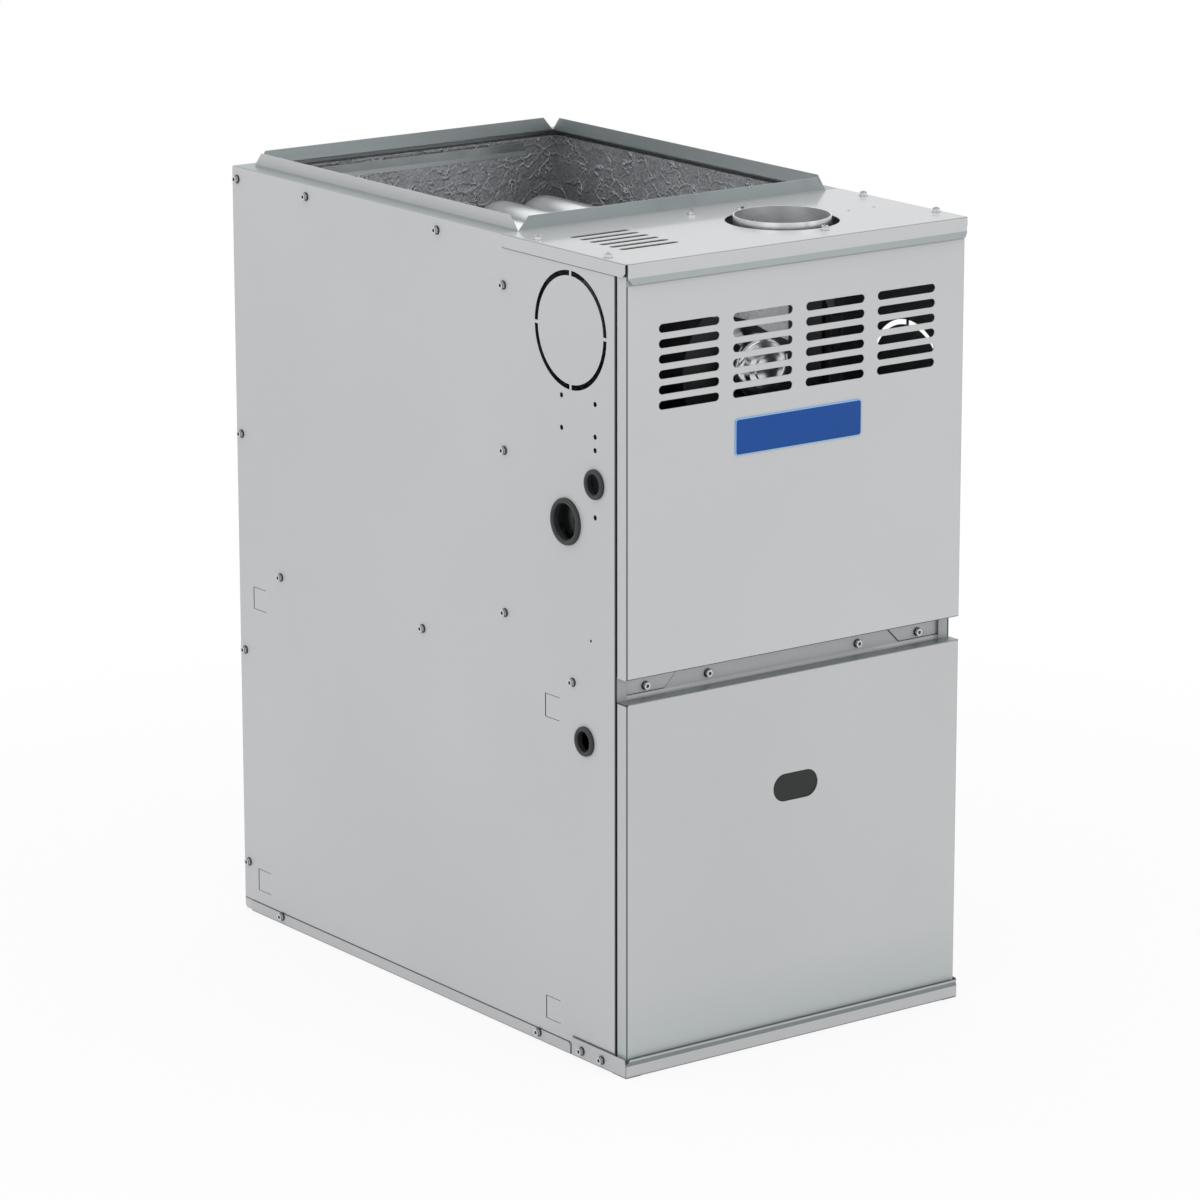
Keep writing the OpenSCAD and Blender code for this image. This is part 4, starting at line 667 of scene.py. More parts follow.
@dataclass(frozen=True)
class RailZinc(ZincSheet):
    """Zinc of the cross rail, with painted shadow lines round the corner brackets and a painted glow."""

    width: float = 1.1 * MM
    # where the painted glow lies over the lower door, and how bright it is
    gap: Span = (-6 * MM, 2 * MM)
    gap_depth: float = 3 * MM
    light: float = srgb(96, 101, 103)[1]

    def edges(self, graph: Graph) -> Signal:
        """Finds the brackets' lower and slanting edges, along which a shadow line is painted.

        Args:
            graph: The material's graph.

        Returns:
            1 along the edges.
        """
        x, _, z = graph.axes()
        rise = z - PLANES.bracket_foot
        beside = (PLANES.bracket_slope - abs(x) - rise) * math.sqrt(0.5)
        return (0 - rise).at_least(beside).between(-0.1 * MM, self.width, 0.2 * MM)

    def painted_glow(self, graph: Graph) -> Signal:
        """Painted glow for the light that the lower door's flange throws on what stands close behind it.

        Args:
            graph: The material's graph.

        Returns:
            The glow's colour.
        """
        _, y, z = graph.axes()
        near = (z - PLANES.lower_top).between(*self.gap, 0.6 * MM)
        front = 1 - y.step(PLANES.rail_front, PLANES.rail_front + self.gap_depth)
        return graph.mix(near * front, BLACK_LIGHT, shaded(WHITE_LIGHT, self.light))


@dataclass(frozen=True)
class DrawnSteel:
    """Bright steel tube with fine lines along its length and faint heat stains."""

    name: str
    colour: Colour
    roughness: float = 0.3
    tint: Point = (0.93, 0.92, 0.9)
    lines: Cloud = Cloud(700.0, 3.0, (1, 0.1, 1))
    stain: Cloud = Cloud(14.0, 3.0)

    def material(self) -> bpy.types.Material:
        """Builds the material.

        Returns:
            The material.
        """
        graph = Graph.of_material(self.name)
        lines = graph.noise(self.lines)
        stain = graph.noise(self.stain)
        stained = tuple(part * level for part, level in zip(self.colour, self.tint))
        return graph.surface(
            Base_Color=graph.mix(stain.step(0.45, 0.75) * 0.6, self.colour, stained),
            Metallic=1.0,
            Roughness=self.roughness + lines.swing(0.1) + stain.step(0.5, 0.8) * 0.06,
        )


@dataclass(frozen=True)
class LinerFoil:
    """Dull foil on an insulation blanket, with raised wandering creases."""

    name: str
    colour: Colour
    roughness: float = 0.4
    cells: float = 38.0
    squash: float = 1.7
    twist: float = 1.1
    ridge: float = 0.045
    shadow: float = 0.06
    shadow_drop: float = 1.3 * MM
    spread: Span = (0.62, 1.28)
    # colour factors of the painted highlight on the ridges and the painted shadow under them
    bright: float = 2.3
    dark: float = 0.22
    strength: float = 0.75
    soft: Cloud = Cloud(30.0, 4.0)
    weave: Cloud = Cloud(420.0, 4.0)
    depth: float = 2.2 * MM

    def crease(self, graph: Graph, width: float, drop: float) -> Signal:
        """Narrow broken ridges along the borders of twisted cells, wider than they are high.

        Args:
            graph: The material's graph.
            width: Half width of a ridge in cells.
            drop: How much lower the whole pattern hangs, in metres of the squashed pattern.

        Returns:
            Height of the ridges, 0 to 1.
        """
        hung = graph.place((1, 1, self.squash), (0, 0, -self.squash * drop))
        twist = graph.node(
            "ShaderNodeTexNoise", {}, {"Vector": hung, "Scale": self.cells * 1.6, "Detail": 3.0}, "Color"
        )
        reach = (self.twist / self.cells,) * 3
        place = graph.node(
            "ShaderNodeVectorMath", {"operation": "MULTIPLY_ADD"}, {0: twist, 1: reach, 2: hung}
        )
        border = graph.node(
            "ShaderNodeTexVoronoi", {"feature": "DISTANCE_TO_EDGE"}, {"Vector": place, "Scale": self.cells}
        )
        broken = graph.noise(Cloud(self.cells * 0.9)).step(0.41, 0.53)
        return (1 - border.step(0.0, width)) * broken

    def material(self) -> bpy.types.Material:
        """Builds the material, with a painted highlight on each ridge and a painted shadow line under it.

        Returns:
            The material.
        """
        graph = Graph.of_material(self.name)
        creases = self.crease(graph, self.ridge, 0.0)
        under = self.crease(graph, self.shadow, self.shadow_drop)
        soft = graph.noise(self.soft)
        weave = graph.noise(self.weave)
        worn = graph.shades(weave.step(0.35, 0.65) * 0.6 + soft * 0.4, self.colour, self.spread)
        # painted shadow line under each ridge
        worn = graph.mix(under * self.strength, worn, shaded(self.colour, self.dark))
        # painted highlight on the ridges, in the base colour
        return graph.surface(
            Base_Color=graph.mix(creases * self.strength, worn, shaded(self.colour, self.bright)),
            Metallic=0.6,
            Roughness=self.roughness + soft.swing(0.2) + weave.swing(0.15),
            Normal=graph.bump(creases * 1.2 + soft * 0.8 + weave * 0.8, 0.55, self.depth),
        )


@dataclass(frozen=True)
class Moulded:
    """Plastic, rubber or ceramic with a faint grain."""

    name: str
    colour: Colour
    roughness: float = 0.5
    grain: float = 700.0
    relief: float = 0.12
    spread: Span = (0.85, 1.15)
    wear: Cloud = Cloud(40.0, 3.0)
    depth: float = 0.3 * MM

    def material(self) -> bpy.types.Material:
        """Builds the material.

        Returns:
            The material.
        """
        graph = Graph.of_material(self.name)
        grain = graph.noise(Cloud(self.grain, 3.0))
        wear = graph.noise(self.wear)
        return graph.surface(
            Base_Color=graph.shades(wear, self.colour, self.spread),
            Roughness=self.roughness + wear.swing(0.12) + grain.swing(0.08),
            Normal=graph.bump(grain, self.relief, self.depth),
        )


@dataclass(frozen=True)
class CastMetal:
    """Die-cast, spun or enamelled metal with a pebbled skin."""

    name: str
    colour: Colour
    roughness: float = 0.45
    metallic: float = 0.9
    pebble: float = 380.0
    relief: float = 0.25
    spread: Span = (0.82, 1.12)
    drift: Cloud = Cloud(30.0, 3.0)
    depth: float = 0.4 * MM

    def material(self) -> bpy.types.Material:
        """Builds the material.

        Returns:
            The material.
        """
        graph = Graph.of_material(self.name)
        pebble = graph.noise(Cloud(self.pebble, 4.0))
        drift = graph.noise(self.drift)
        return graph.surface(
            Base_Color=graph.shades(drift, self.colour, self.spread),
            Metallic=self.metallic,
            Roughness=self.roughness + drift.swing(0.16) + pebble.swing(0.1),
            Normal=graph.bump(pebble, self.relief, self.depth),
        )


@dataclass(frozen=True)
class BorderedPlate:
    """Enamelled plate with a thin light line along its edge."""

    name: str
    colour: Colour
    line: Colour
    centre: Span
    size: Span
    corner: float = 4 * MM
    width: float = 1.3 * MM
    soft: float = 0.15 * MM
    spread: Span = (0.92, 1.08)
    drift: Cloud = Cloud(18.0)
    fine: Cloud = Cloud(700.0)

    def material(self) -> bpy.types.Material:
        """Builds the material, from the distance to the plate's rounded outline.

        Returns:
            The material.
        """
        graph = Graph.of_material(self.name)
        x, _, z = graph.axes()
        along = abs(x - self.centre[0]) - (self.size[0] / 2 - self.corner)
        up = abs(z - self.centre[1]) - (self.size[1] / 2 - self.corner)
        out_x, out_z = along.at_least(0.0), up.at_least(0.0)
        inside = along.at_least(up).at_most(0.0)
        edge = (out_x * out_x + out_z * out_z).root() + inside - self.corner
        drift = graph.noise(self.drift)
        blue = graph.shades(drift, self.colour, self.spread)
        return graph.surface(
            Base_Color=graph.mix(edge.between(-self.width, 0.0, self.soft), blue, self.line),
            Roughness=0.42 + drift.swing(0.08),
            Specular_IOR_Level=0.25,
            Normal=graph.bump(graph.noise(self.fine), 0.04),
        )


@dataclass(frozen=True)
class DarkGlass:
    """Window as an opaque surface in painted shade, for the unlit inside seen through it."""

    name: str
    colour: Colour
    spread: Span = (1.0, 1.35)
    dust: Cloud = Cloud(120.0, 4.0)
    depth: float = 0.3 * MM

    def material(self) -> bpy.types.Material:
        """Builds the material.

        Returns:
            The material.
        """
        graph = Graph.of_material(self.name)
        dust = graph.noise(self.dust)
        return graph.surface(
            Base_Color=graph.shades(dust, self.colour, self.spread),
            Roughness=0.28 + dust * 0.12,
            Specular_IOR_Level=0.3,
            Normal=graph.bump(dust, 0.02, self.depth),
        )


PLATE_LOW, PLATE_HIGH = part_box("door_plate")

# painted shade along the doors' side folds
SIDE_FOLD_SHADE = Zone(
    srgb(72, 75, 77), x=above(PLANES.door_side - 1.2 * MM), y=below(PLANES.door_front + 1.2 * MM)
)

PANEL_PAINTED_SHADE = (
    # painted shade on the ledge beside the duct flange, where its shadow and reflection fall
    Zone(srgb(152, 160, 161), z=(PLANES.top - 0.25 * MM, PLANES.top + 1.2 * MM), soft=0.15 * MM),
    # painted contact shadows under and behind the top plate's skirt
    Zone(
        srgb(122, 125, 127),
        y=below(PLANES.plate_end + 0.9 * MM),
        z=(PLANES.skirt_low - 1.3 * MM, PLANES.skirt_low + 0.5 * MM),
    ),
    Zone(
        srgb(140, 143, 145),
        y=(PLANES.plate_end - 0.5 * MM, PLANES.plate_end + 0.8 * MM),
        z=(PLANES.skirt_low, PLANES.top - 1.0 * MM),
    ),
    # painted shade on the front flange between the doors
    Zone(
        srgb(164, 167, 169),
        y=below(PLANES.panel_front + 1.2 * MM),
        z=(PLANES.lower_top, PLANES.door_low + 2 * MM),
        soft=1.0 * MM,
    ),
    # painted shadow in the gap between panel and doors
    Zone(srgb(38, 40, 41), x=above(PLANES.half_width - 3.0 * MM), y=below(PLANES.panel_front + 0.8 * MM)),
    # painted contact shadows over the base rails, painted shade in the gap between them
    Zone(
        srgb(96, 99, 101),
        y=above(PLANES.rail_start),
        z=(PLANES.rail_top - 0.5 * MM, PLANES.rail_top + 1.0 * MM),
    ),
    Zone(
        srgb(104, 107, 109),
        y=below(PLANES.wing_end),
        z=(PLANES.base_top - 0.5 * MM, PLANES.base_top + 1.0 * MM),
    ),
    Zone(srgb(64, 67, 69), y=(PLANES.wing_end - 0.3 * MM, PLANES.rail_start), z=below(PLANES.rail_top)),
)

PANEL_CUT_SHADE = (
    # painted shade on the walls of the ring and of the square marks
    Zone(
        srgb(58, 60, 61),
        x=above(PLANES.half_width - 1.6 * MM),
        y=(PLANES.panel_front + 8 * MM, -PLANES.panel_front - 8 * MM),
        z=(12 * MM, PLANES.top - 8 * MM),
        cut=Axis.X,
    ),
)

DOOR_PAINTED_SHADE = (
    # painted shade on the side and lower folds
    SIDE_FOLD_SHADE,
    Zone(srgb(78, 81, 83), y=below(PLANES.door_front + 1.4 * MM), z=below(PLANES.door_low + 1.3 * MM)),
    # shade under the top plate's lip
    Zone(
        srgb(158, 161, 163),
        y=below(PLANES.door_front + 0.9 * MM),
        z=(PLANES.lip_low - 2.4 * MM, PLANES.lip_low + 3 * MM),
        soft=0.6 * MM,
    ),
    # painted shadow in the slot at the upper corners
    Zone(srgb(16, 17, 18), x=above(PLANES.door_side - 2.5 * MM), z=above(PLANES.skirt_low + 0.4 * MM)),
)

LOWER_DOOR_PAINTED_SHADE = (
    # painted shade, darker and cooler towards the floor
    Zone(srgb(182, 188, 189), z=below(60 * MM), soft=40 * MM),
    # painted contact shadow over the base
    Zone(
        srgb(124, 129, 131),
        y=below(PLANES.door_front + 0.9 * MM),
        z=below(PLANES.base_top - 0.2 * MM),
        soft=0.5 * MM,
    ),
    # painted shade on the side folds, on the top flange under the upper door and in the slots at its ends
    SIDE_FOLD_SHADE,
    Zone(srgb(128, 139, 142), z=above(PLANES.lower_top - 0.5 * MM), soft=0.2 * MM),
    Zone(srgb(20, 21, 22), x=above(PLANES.door_side - 1.8 * MM), z=above(PLANES.lower_top - 1.8 * MM)),
)

TOP_PAINTED_LIGHT_AND_SHADE = (
    # skirts as light as the panels, against the top face's painted shade
    Zone(srgb(195, 196, 198), z=below(PLANES.top - 1.2 * MM), soft=0.4 * MM),
    # painted shade and reflection on the flared lip and duct flange
    Zone(srgb(150, 159, 161), z=below(PLANES.skirt_low - 0.7 * MM), soft=0.4 * MM),
    Zone(srgb(150, 159, 160), z=above(PLANES.top + 0.8 * MM), soft=0.4 * MM),
)

TOP_CUT_LIGHT = (
    # painted light on the walls of the vent slots, which lie in shade
    Zone(
        srgb(196, 198, 199),
        x=below(PLANES.half_width - 12 * MM),
        z=(PLANES.top - 1.2 * MM, PLANES.top + 0.2 * MM),
        cut=Axis.Z,
    ),
)

BASE_PAINTED_SHADE = (
    # painted shade on the flared step along the front, painted shadow lines at the upper edge and the floor
    Zone(
        srgb(118, 127, 129),
        y=below(PLANES.base_front + 3 * MM),
        z=(13.2 * MM, PLANES.base_top - 2.6 * MM),
        soft=0.4 * MM,
    ),
    Zone(srgb(116, 120, 122), z=above(PLANES.base_top - 0.4 * MM)),
    Zone(srgb(96, 98, 99), z=below(1.5 * MM), soft=0.5 * MM),
    # painted shade at the front corners
    Zone(
        srgb(60, 62, 64),
        x=above(PLANES.base_side - 1.6 * MM),
        y=below(PLANES.base_front + 3.2 * MM),
        z=below(16 * MM),
    ),
)


class Finish(Enum):
    """The furnace's finishes."""

    PANEL = SheetEnamel(
        "light_grey_enamel",
        srgb(196, 197, 199),
        coat=0.25,
        bare=srgb(163, 170, 171),
        light_and_shade_zones=PANEL_PAINTED_SHADE,
        cut_light_and_shade=PANEL_CUT_SHADE,
    )
    DOOR = SheetEnamel(
        "door_enamel",
        srgb(197, 198, 200),
        roughness=0.38,
        coat=0.25,
        light_and_shade_zones=DOOR_PAINTED_SHADE,
    )
    LOWER_DOOR = SheetEnamel(
        "lower_door_enamel",
        srgb(191, 193, 194),
        roughness=0.38,
        coat=0.25,
        light_and_shade_zones=LOWER_DOOR_PAINTED_SHADE,
    )
    # top face in a painted shade, darker than the panels' enamel, which tempers the overhead lamp
    TOP = SheetEnamel(
        "top_plate_enamel",
        srgb(179, 181, 183),
        roughness=0.32,
        peel=0.02,
        coat=0.7,
        coat_roughness=0.1,
        bare=srgb(163, 170, 171),
        light_and_shade_zones=TOP_PAINTED_LIGHT_AND_SHADE,
        cut_light_and_shade=TOP_CUT_LIGHT,
    )
    BASE = SheetEnamel(
        "base_enamel",
        srgb(190, 191, 193),
        coat=0.2,
        light_and_shade_zones=BASE_PAINTED_SHADE,
    )
    STRIP = SheetEnamel("liner_strip_zinc", srgb(171, 177, 178), roughness=0.42, bare=srgb(171, 177, 178))
    ZINC = ZincSheet("galvanised_sheet", srgb(176, 180, 182))
    SMOOTH_ZINC = ZincSheet("rolled_zinc", srgb(190, 194, 195), roughness=0.3, spangle=160.0, contrast=0.05)
    DARK_ZINC = ZincSheet(
        "aluminised_sheet", srgb(150, 152, 153), roughness=0.42, spangle=200.0, contrast=0.06
    )
    RAIL = RailZinc(
        "rail_zinc", srgb(190, 192, 193), roughness=0.5, spangle=400.0, contrast=0.02, metallic=0.1
    )
    TUBE = DrawnSteel("bright_tube", srgb(248, 249, 250))
    COLLAR = CastMetal(
        "bright_collar", srgb(232, 233, 234), roughness=0.3, metallic=0.94, pebble=900.0, relief=0.12
    )
    SCREW = ScrewZinc("zinc_plated_screw", srgb(206, 207, 208), shade=srgb(70, 71, 73))
    FOIL = LinerFoil("liner_foil", srgb(150, 152, 155))
    RUBBER = Moulded("black_rubber", srgb(43, 44, 46))
    BLACK = Moulded("black_plastic", srgb(38, 38, 40), roughness=0.45)
    RED = Moulded("red_plastic", srgb(186, 40, 34), roughness=0.35)
    WHITE = Moulded("white_plastic", srgb(226, 225, 220), roughness=0.4)
    CERAMIC = Moulded("ceramic", srgb(228, 224, 214), roughness=0.7, grain=400.0, relief=0.2)
    BOARD = Moulded("board_lacquer", srgb(38, 92, 58), roughness=0.35)
    MOTOR = CastMetal(
        "motor_enamel", srgb(66, 67, 70), roughness=0.5, metallic=0.2, pebble=500.0, relief=0.15
    )
    BRIGHT_MOTOR = CastMetal(
        "bright_motor_shell", srgb(214, 216, 217), roughness=0.2, metallic=1.0, pebble=160.0, relief=0.08
    )
    HOUSING = CastMetal(
        "dark_housing", srgb(44, 45, 47), roughness=0.5, metallic=0.3, pebble=600.0, relief=0.1
    )
    PIPE = CastMetal("black_pipe", srgb(52, 52, 54), roughness=0.5, metallic=0.5, pebble=300.0, relief=0.3)
    VALVE = CastMetal("die_cast_alloy", srgb(168, 170, 173), roughness=0.42, metallic=0.95)
    CORE = CastMetal(
        "varnished_core", srgb(74, 68, 60), roughness=0.45, metallic=0.6, pebble=900.0, relief=0.1
    )
    PLATE = BorderedPlate(
        "blue_plate",
        srgb(10, 72, 150),
        line=srgb(150, 190, 226),
        centre=((PLATE_LOW[0] + PLATE_HIGH[0]) / 2, (PLATE_LOW[2] + PLATE_HIGH[2]) / 2),
        size=(PLATE_HIGH[0] - PLATE_LOW[0], PLATE_HIGH[2] - PLATE_LOW[2]),
    )
    GLASS = DarkGlass("dark_window", srgb(32, 34, 33))


@dataclass
class Dresser:
    """Gives nodes and pieces their finish, each material built once."""

    made: dict[Finish, bpy.types.Material] = field(default_factory=dict)

    def material(self, finish: Finish) -> bpy.types.Material:
        """Builds a finish's material the first time it is asked for.

        Args:
            finish: The finish.

        Returns:
            Its material.
        """
        if finish not in self.made:
            self.made[finish] = finish.value.material()
        return self.made[finish]

    def node(self, name: str, finish: Finish) -> None:
        """Dresses a CAD node.

        Args:
            name: The node's name.
            finish: Its finish.
        """
        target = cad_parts[name]
        target.data.materials.clear()
        target.data.materials.append(self.material(finish))
        LOG.info("dressed %s in %s", name, finish.name.lower())

    def nodes(self, names: Iterable[str], finish: Finish) -> None:
        """Dresses several CAD nodes alike."""
        for name in names:
            self.node(name, finish)

    def piece(
        self, name: str, mesh: bmesh.types.BMesh, finish: Finish, body: str
    ) -> bpy.types.Object:
        """Makes a piece of a finished mesh and lets it ride on a body.

        Args:
            name: The piece's name.
            mesh: Its mesh, in place, which is freed.
            finish: Its finish.
            body: The body that it moves with.

        Returns:
            The new object.
        """
        bmesh.ops.recalc_face_normals(mesh, faces=mesh.faces[:])
        made = link(name, mesh_data(name, mesh))
        made.data.materials.append(self.material(finish))
        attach(made, body)
        LOG.info("built %s: %d faces", name, len(made.data.polygons))
        return made


# --------------------------------------------------------------------------
# Sub-assemblies
# --------------------------------------------------------------------------


Looks = tuple[tuple[Finish, tuple[str, ...]], ...]


@dataclass
class SubAssembly:
    """CAD nodes that belong together, with their finishes."""

    looks: Looks = ()

    def build(self, dresser: Dresser) -> None:
        """Dresses the nodes.

        Args:
            dresser: Gives the finishes.
        """
        for finish, names in self.looks:
            dresser.nodes(names, finish)


@dataclass
class Casing(SubAssembly):
    """Outer panels, base, rails and screws."""

    looks: Looks = (
        (Finish.PANEL, ("left_side_panel", "right_side_panel", "back_panel")),
        (Finish.BASE, ("front_base_rail", "left_base_rail", "right_base_rail")),
        (Finish.ZINC, ("bottom_panel",)),
        (Finish.RAIL, ("blower_deck", "cross_rail", "corner_brackets")),
        (Finish.TOP, ("top_plate",)),
        (Finish.SCREW, ("cabinet_screws",)),
        (Finish.RUBBER, ("grommets",)),
    )


@dataclass
class Doors(SubAssembly):
    """Both doors with the window and the bare plate."""

    looks: Looks = (
        (Finish.DOOR, ("upper_door",)),
        (Finish.LOWER_DOOR, ("lower_door",)),
        (Finish.GLASS, ("sight_glass",)),
        (Finish.PLATE, ("door_plate",)),
    )


class Blanket(Enum):
    """The insulation blankets, each with the direction in which its foil looks."""

    LEFT = ("left_liner", (1, 0, 0))
    RIGHT = ("right_liner", (-1, 0, 0))
    BACK = ("back_liner", (0, -1, 0))

    @property
    def node(self) -> str:
        """Name of the blanket's CAD node."""
        return self.value[0]

    @property
    def facing(self) -> Vector:
        """Direction in which the foil looks."""
        return Vector(self.value[1])

    def region(self) -> tuple[Vector, Vector]:
        """Box that the foil covers, stretched to close the seams to its neighbours.

        Returns:
            The box's low and high corner.
        """
        low, high = (Vector(corner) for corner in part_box(self.node))
        if self is Blanket.BACK:
            low.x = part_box(Blanket.LEFT.node)[1][0]
            high.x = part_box(Blanket.RIGHT.node)[0][0]
        else:
            high.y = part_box(Blanket.BACK.node)[0][1]
        return low, high


@dataclass
class HeatExchanger(SubAssembly):
    """Tubes, collector and the lined space round them."""

    looks: Looks = (
        (Finish.TUBE, tuple(f"exchanger_tube_{i + 1}" for i in range(6))),
        (Finish.FOIL, tuple(blanket.node for blanket in Blanket)),
        (Finish.ZINC, ("vestibule_panel",)),
        (Finish.STRIP, ("liner_strip",)),
        (Finish.DARK_ZINC, ("collector_box",)),
    )
    pitch: float = 2.5 * MM
    relief: float = 1.5 * MM
    skin: float = 0.25 * MM
    lift: float = 0.3 * MM
    edge: float = 5 * MM
    twist: float = 14 * MM
    twists: float = 45.0
    cells: float = 30.0
    ridge: float = 0.12
    waves: float = 22.0
    ridge_share: float = 0.4
    seed: int = 7

    def build(self, dresser: Dresser) -> None:
        """Dresses the exchanger and lays the foil on its blankets.

        Args:
            dresser: Gives the finishes.
        """
        super().build(dresser)
        # noise_vector is otherwise offset by the clock
        noise.seed_set(self.seed)
        for blanket in Blanket:
            foil = self.foil(blanket)
            dresser.piece(f"{blanket.node}_foil", foil, Finish.FOIL, "cabinet")

    def foil(self, blanket: Blanket) -> bmesh.types.BMesh:
        """Crumpled foil on the open face of a blanket.

        Args:
            blanket: The blanket.

        Returns:
            The foil's mesh, in place.
        """
        low, high = blanket.region()
        size, facing = high - low, blanket.facing
        across = size.y if facing.x else size.x
        mesh = bmesh.new()
        bmesh.ops.create_grid(
            mesh, x_segments=round(across / self.pitch), y_segments=round(size.z / self.pitch), size=0.5
        )
        bmesh.ops.scale(mesh, vec=(across - self.skin, size.z - self.skin, 1), verts=mesh.verts)
        up = Vector((0, 0, 1))
        upright = Matrix((up.cross(facing), up, facing)).transposed()
        bmesh.ops.transform(mesh, matrix=upright.to_4x4(), verts=mesh.verts)
        face = (low + high) / 2 + Vector(f * s / 2 for f, s in zip(facing, size))
        bmesh.ops.translate(mesh, vec=face, verts=mesh.verts)
        strip_low, strip_high = (corner[2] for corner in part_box("liner_strip"))
        for vert in mesh.verts:
            inward = min(vert.co.z - low.z, high.z - vert.co.z)
            if blanket is Blanket.BACK:
                # it lies flat behind the strip
                inward = min(inward, max(strip_low - vert.co.z, vert.co.z - strip_high))
            ramp = min(1.0, max(0.0, inward / self.edge))
            vert.co += facing * (self.lift + self.relief * ramp * self.crumple(vert.co))
        bmesh.ops.solidify(mesh, geom=mesh.faces[:], thickness=self.skin)
        return mesh

    def crumple(self, place: Vector) -> float:
        """Height of the foil's creases and soft waves.

        Args:
            place: A point on the foil.

        Returns:
            The height, 0 to 1.
        """
        twisted = place + noise.noise_vector(place * self.twists) * self.twist
        near = noise.voronoi(twisted * self.cells)[0]
        crease = max(0.0, 1 - (near[1] - near[0]) / self.ridge)
        wave = 0.5 + 0.5 * noise.noise(place * self.waves)
        return self.ridge_share * crease + (1 - self.ridge_share) * wave


@dataclass
class BurnerCompartment(SubAssembly):
    """Burners, gas train, inducer and vent."""

    looks: Looks = (
        (Finish.DARK_ZINC, ("burner_box", "burners")),
        (Finish.CERAMIC, ("igniter", "flame_sensor")),
        (Finish.PIPE, ("gas_manifold",)),
        (Finish.VALVE, ("gas_valve",)),
        (Finish.BLACK, ("gas_valve_knob", "pressure_switch", "limit_switch", "rollout_switches")),
        (Finish.RED, ("rollout_button_left", "rollout_button_right")),
        (Finish.SMOOTH_ZINC, ("vent_base", "junction_box", "inducer_wheel")),
        (Finish.HOUSING, ("inducer_housing",)),
        (Finish.BRIGHT_MOTOR, ("inducer_motor",)),
        (Finish.BLACK, ("inducer_fan",)),
        (Finish.RUBBER, ("pressure_hose",)),
        (Finish.COLLAR, ("flue_collar",)),
    )


@dataclass
class BlowerSection(SubAssembly):
    """Blower, its motor and the control panel."""

    looks: Looks = (
        (Finish.ZINC, ("blower_scroll", "blower_side_left", "blower_side_right", "control_bracket")),
        (Finish.SMOOTH_ZINC, ("blower_wheel", "blower_motor_mount")),
        (Finish.MOTOR, ("blower_motor",)),
        (Finish.BOARD, ("control_board",)),
        (Finish.CORE, ("transformer",)),
        (Finish.WHITE, ("door_switch", "door_switch_plunger")),
    )


@dataclass(frozen=True)
class Lamp:
    """A square soft lamp, in metres and watts."""

    name: str
    place: Point
    size: float
    power: float


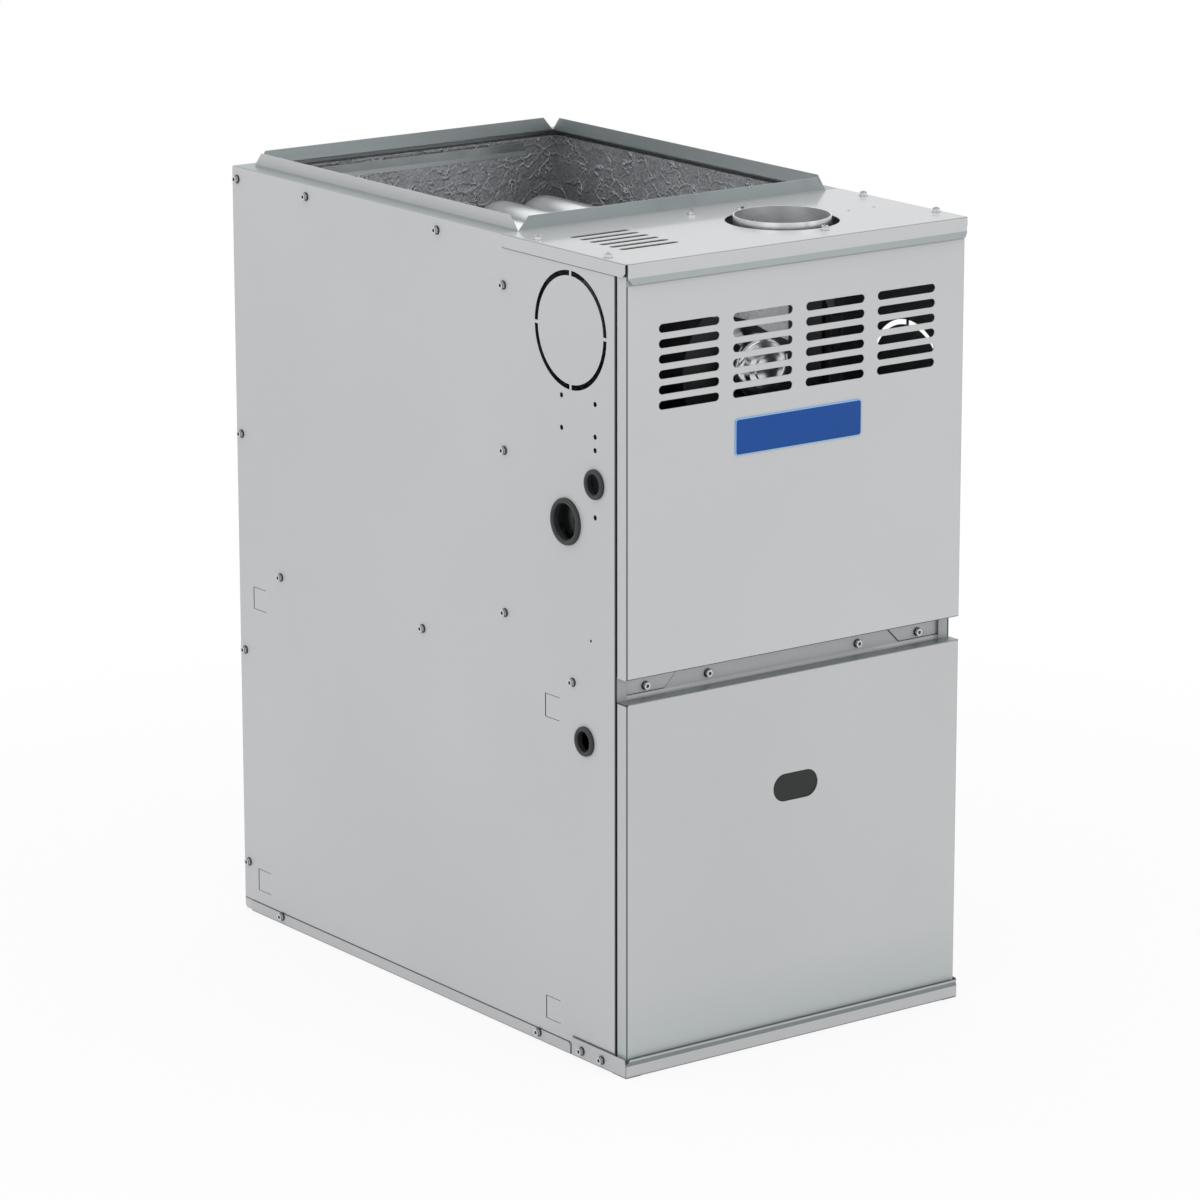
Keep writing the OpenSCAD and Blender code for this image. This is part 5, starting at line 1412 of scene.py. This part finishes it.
@dataclass
class Studio:
    """Camera, floor, lamps and world."""

    target: Point = (12.31 * MM, 1.2 * MM, 401.46 * MM)
    distance: float = 5834.3 * MM
    azimuth: float = -36.442
    elevation: float = 14.424
    roll: float = -0.063
    lens: float = 159.81
    sensor: float = 36.0
    ambient: float = 0.76
    floor_size: float = 40.0
    floor_level: float = -0.4 * MM
    floor_colour: Colour = (0.96, 0.96, 0.96)
    shadow_reach: float = 0.8
    shadow_fade: float = 0.86
    lit_point: Point = (0.0, 0.0, 0.45)
    lamps: tuple[Lamp, ...] = (
        Lamp("overhead", (0.0, 0.3, 3.2), size=3.0, power=18.0),
        Lamp("left", (-3.2, -1.6, 1.6), size=2.4, power=11.5),
        Lamp("front", (1.6, -3.6, 1.5), size=2.4, power=14.5),
    )

    def build(self) -> None:
        """Makes the whole studio."""
        self.camera()
        self.world()
        self.floor()
        for lamp in self.lamps:
            self.light(lamp)

    def camera(self) -> None:
        """Places the camera where the photograph was taken."""
        across, rise = math.radians(self.azimuth), math.radians(self.elevation)
        level = math.cos(rise)
        back = Vector((math.sin(across) * level, -math.cos(across) * level, math.sin(rise)))
        data = bpy.data.cameras.new("camera")
        data.sensor_width = self.sensor
        data.lens = self.lens
        data.clip_end = 100.0
        camera = link("camera", data)
        camera.rotation_mode = "QUATERNION"
        camera.location = Vector(self.target) + back * self.distance
        roll = Quaternion((0, 0, 1), math.radians(self.roll))
        camera.rotation_quaternion = (-back).to_track_quat("-Z", "Y") @ roll
        bpy.context.scene.camera = camera

    def world(self) -> None:
        """Makes the surroundings white to the camera and in reflections, softer as light."""
        world = bpy.data.worlds.new("studio")
        bpy.context.scene.world = world
        graph = Graph(world)
        path = graph.make("ShaderNodeLightPath", {}, {}).outputs
        seen = Signal(graph, path["Is Camera Ray"])
        for name in ("Is Glossy Ray", "Is Transmission Ray"):
            seen = seen.at_least(path[name])
        level = self.ambient + (1 - self.ambient) * seen
        back = graph.make("ShaderNodeBackground", {}, {"Color": WHITE_LIGHT, "Strength": level})
        graph.make("ShaderNodeOutputWorld", {}, {"Surface": back.outputs[0]})

    def floor(self) -> None:
        """Lays a pale floor that stays white round the object's soft shadow."""
        graph = Graph.of_material("studio_floor")
        path = graph.make("ShaderNodeLightPath", {}, {}).outputs
        seen = Signal(graph, path["Is Camera Ray"]).at_least(path["Is Glossy Ray"])
        matt = graph.make("ShaderNodeBsdfDiffuse", {}, {"Color": self.floor_colour})
        glow = graph.make("ShaderNodeEmission", {}, {"Color": WHITE_LIGHT, "Strength": 1.0})
        x, y, _ = graph.axes()
        away = (x * x + y * y).root().step(self.shadow_reach, 2 * self.shadow_reach)
        clear = self.shadow_fade + (1 - self.shadow_fade) * away
        mixed = graph.make(
            "ShaderNodeMixShader", {}, {0: seen * clear, 1: matt.outputs[0], 2: glow.outputs[0]}
        )
        graph.make("ShaderNodeOutputMaterial", {}, {"Surface": mixed.outputs[0]})
        mesh = bmesh.new()
        bmesh.ops.create_grid(mesh, x_segments=1, y_segments=1, size=self.floor_size / 2)
        floor = link("floor", mesh_data("floor", mesh))
        floor.data.materials.append(graph.owner)
        floor.location.z = self.floor_level

    def light(self, lamp: Lamp) -> None:
        """Adds a lamp that faces the object.

        Args:
            lamp: The lamp's name, place, size and power.
        """
        data = bpy.data.lights.new(lamp.name, "AREA")
        data.shape = "SQUARE"
        data.size = lamp.size
        data.energy = lamp.power
        made = link(lamp.name, data)
        made.location = lamp.place
        made.rotation_mode = "QUATERNION"
        aim = Vector(self.lit_point) - Vector(lamp.place)
        made.rotation_quaternion = aim.to_track_quat("-Z", "Y")


def main() -> None:
    """Builds the studio, dresses the frame and adds the finer pieces."""
    logging.basicConfig(level=logging.INFO, format="%(name)s: %(message)s")
    bpy.context.scene.view_settings.view_transform = "Standard"
    Studio().build()
    dresser = Dresser()
    for assembly in (Casing(), Doors(), HeatExchanger(), BurnerCompartment(), BlowerSection()):
        assembly.build(dresser)


if __name__ == "__main__":
    main()
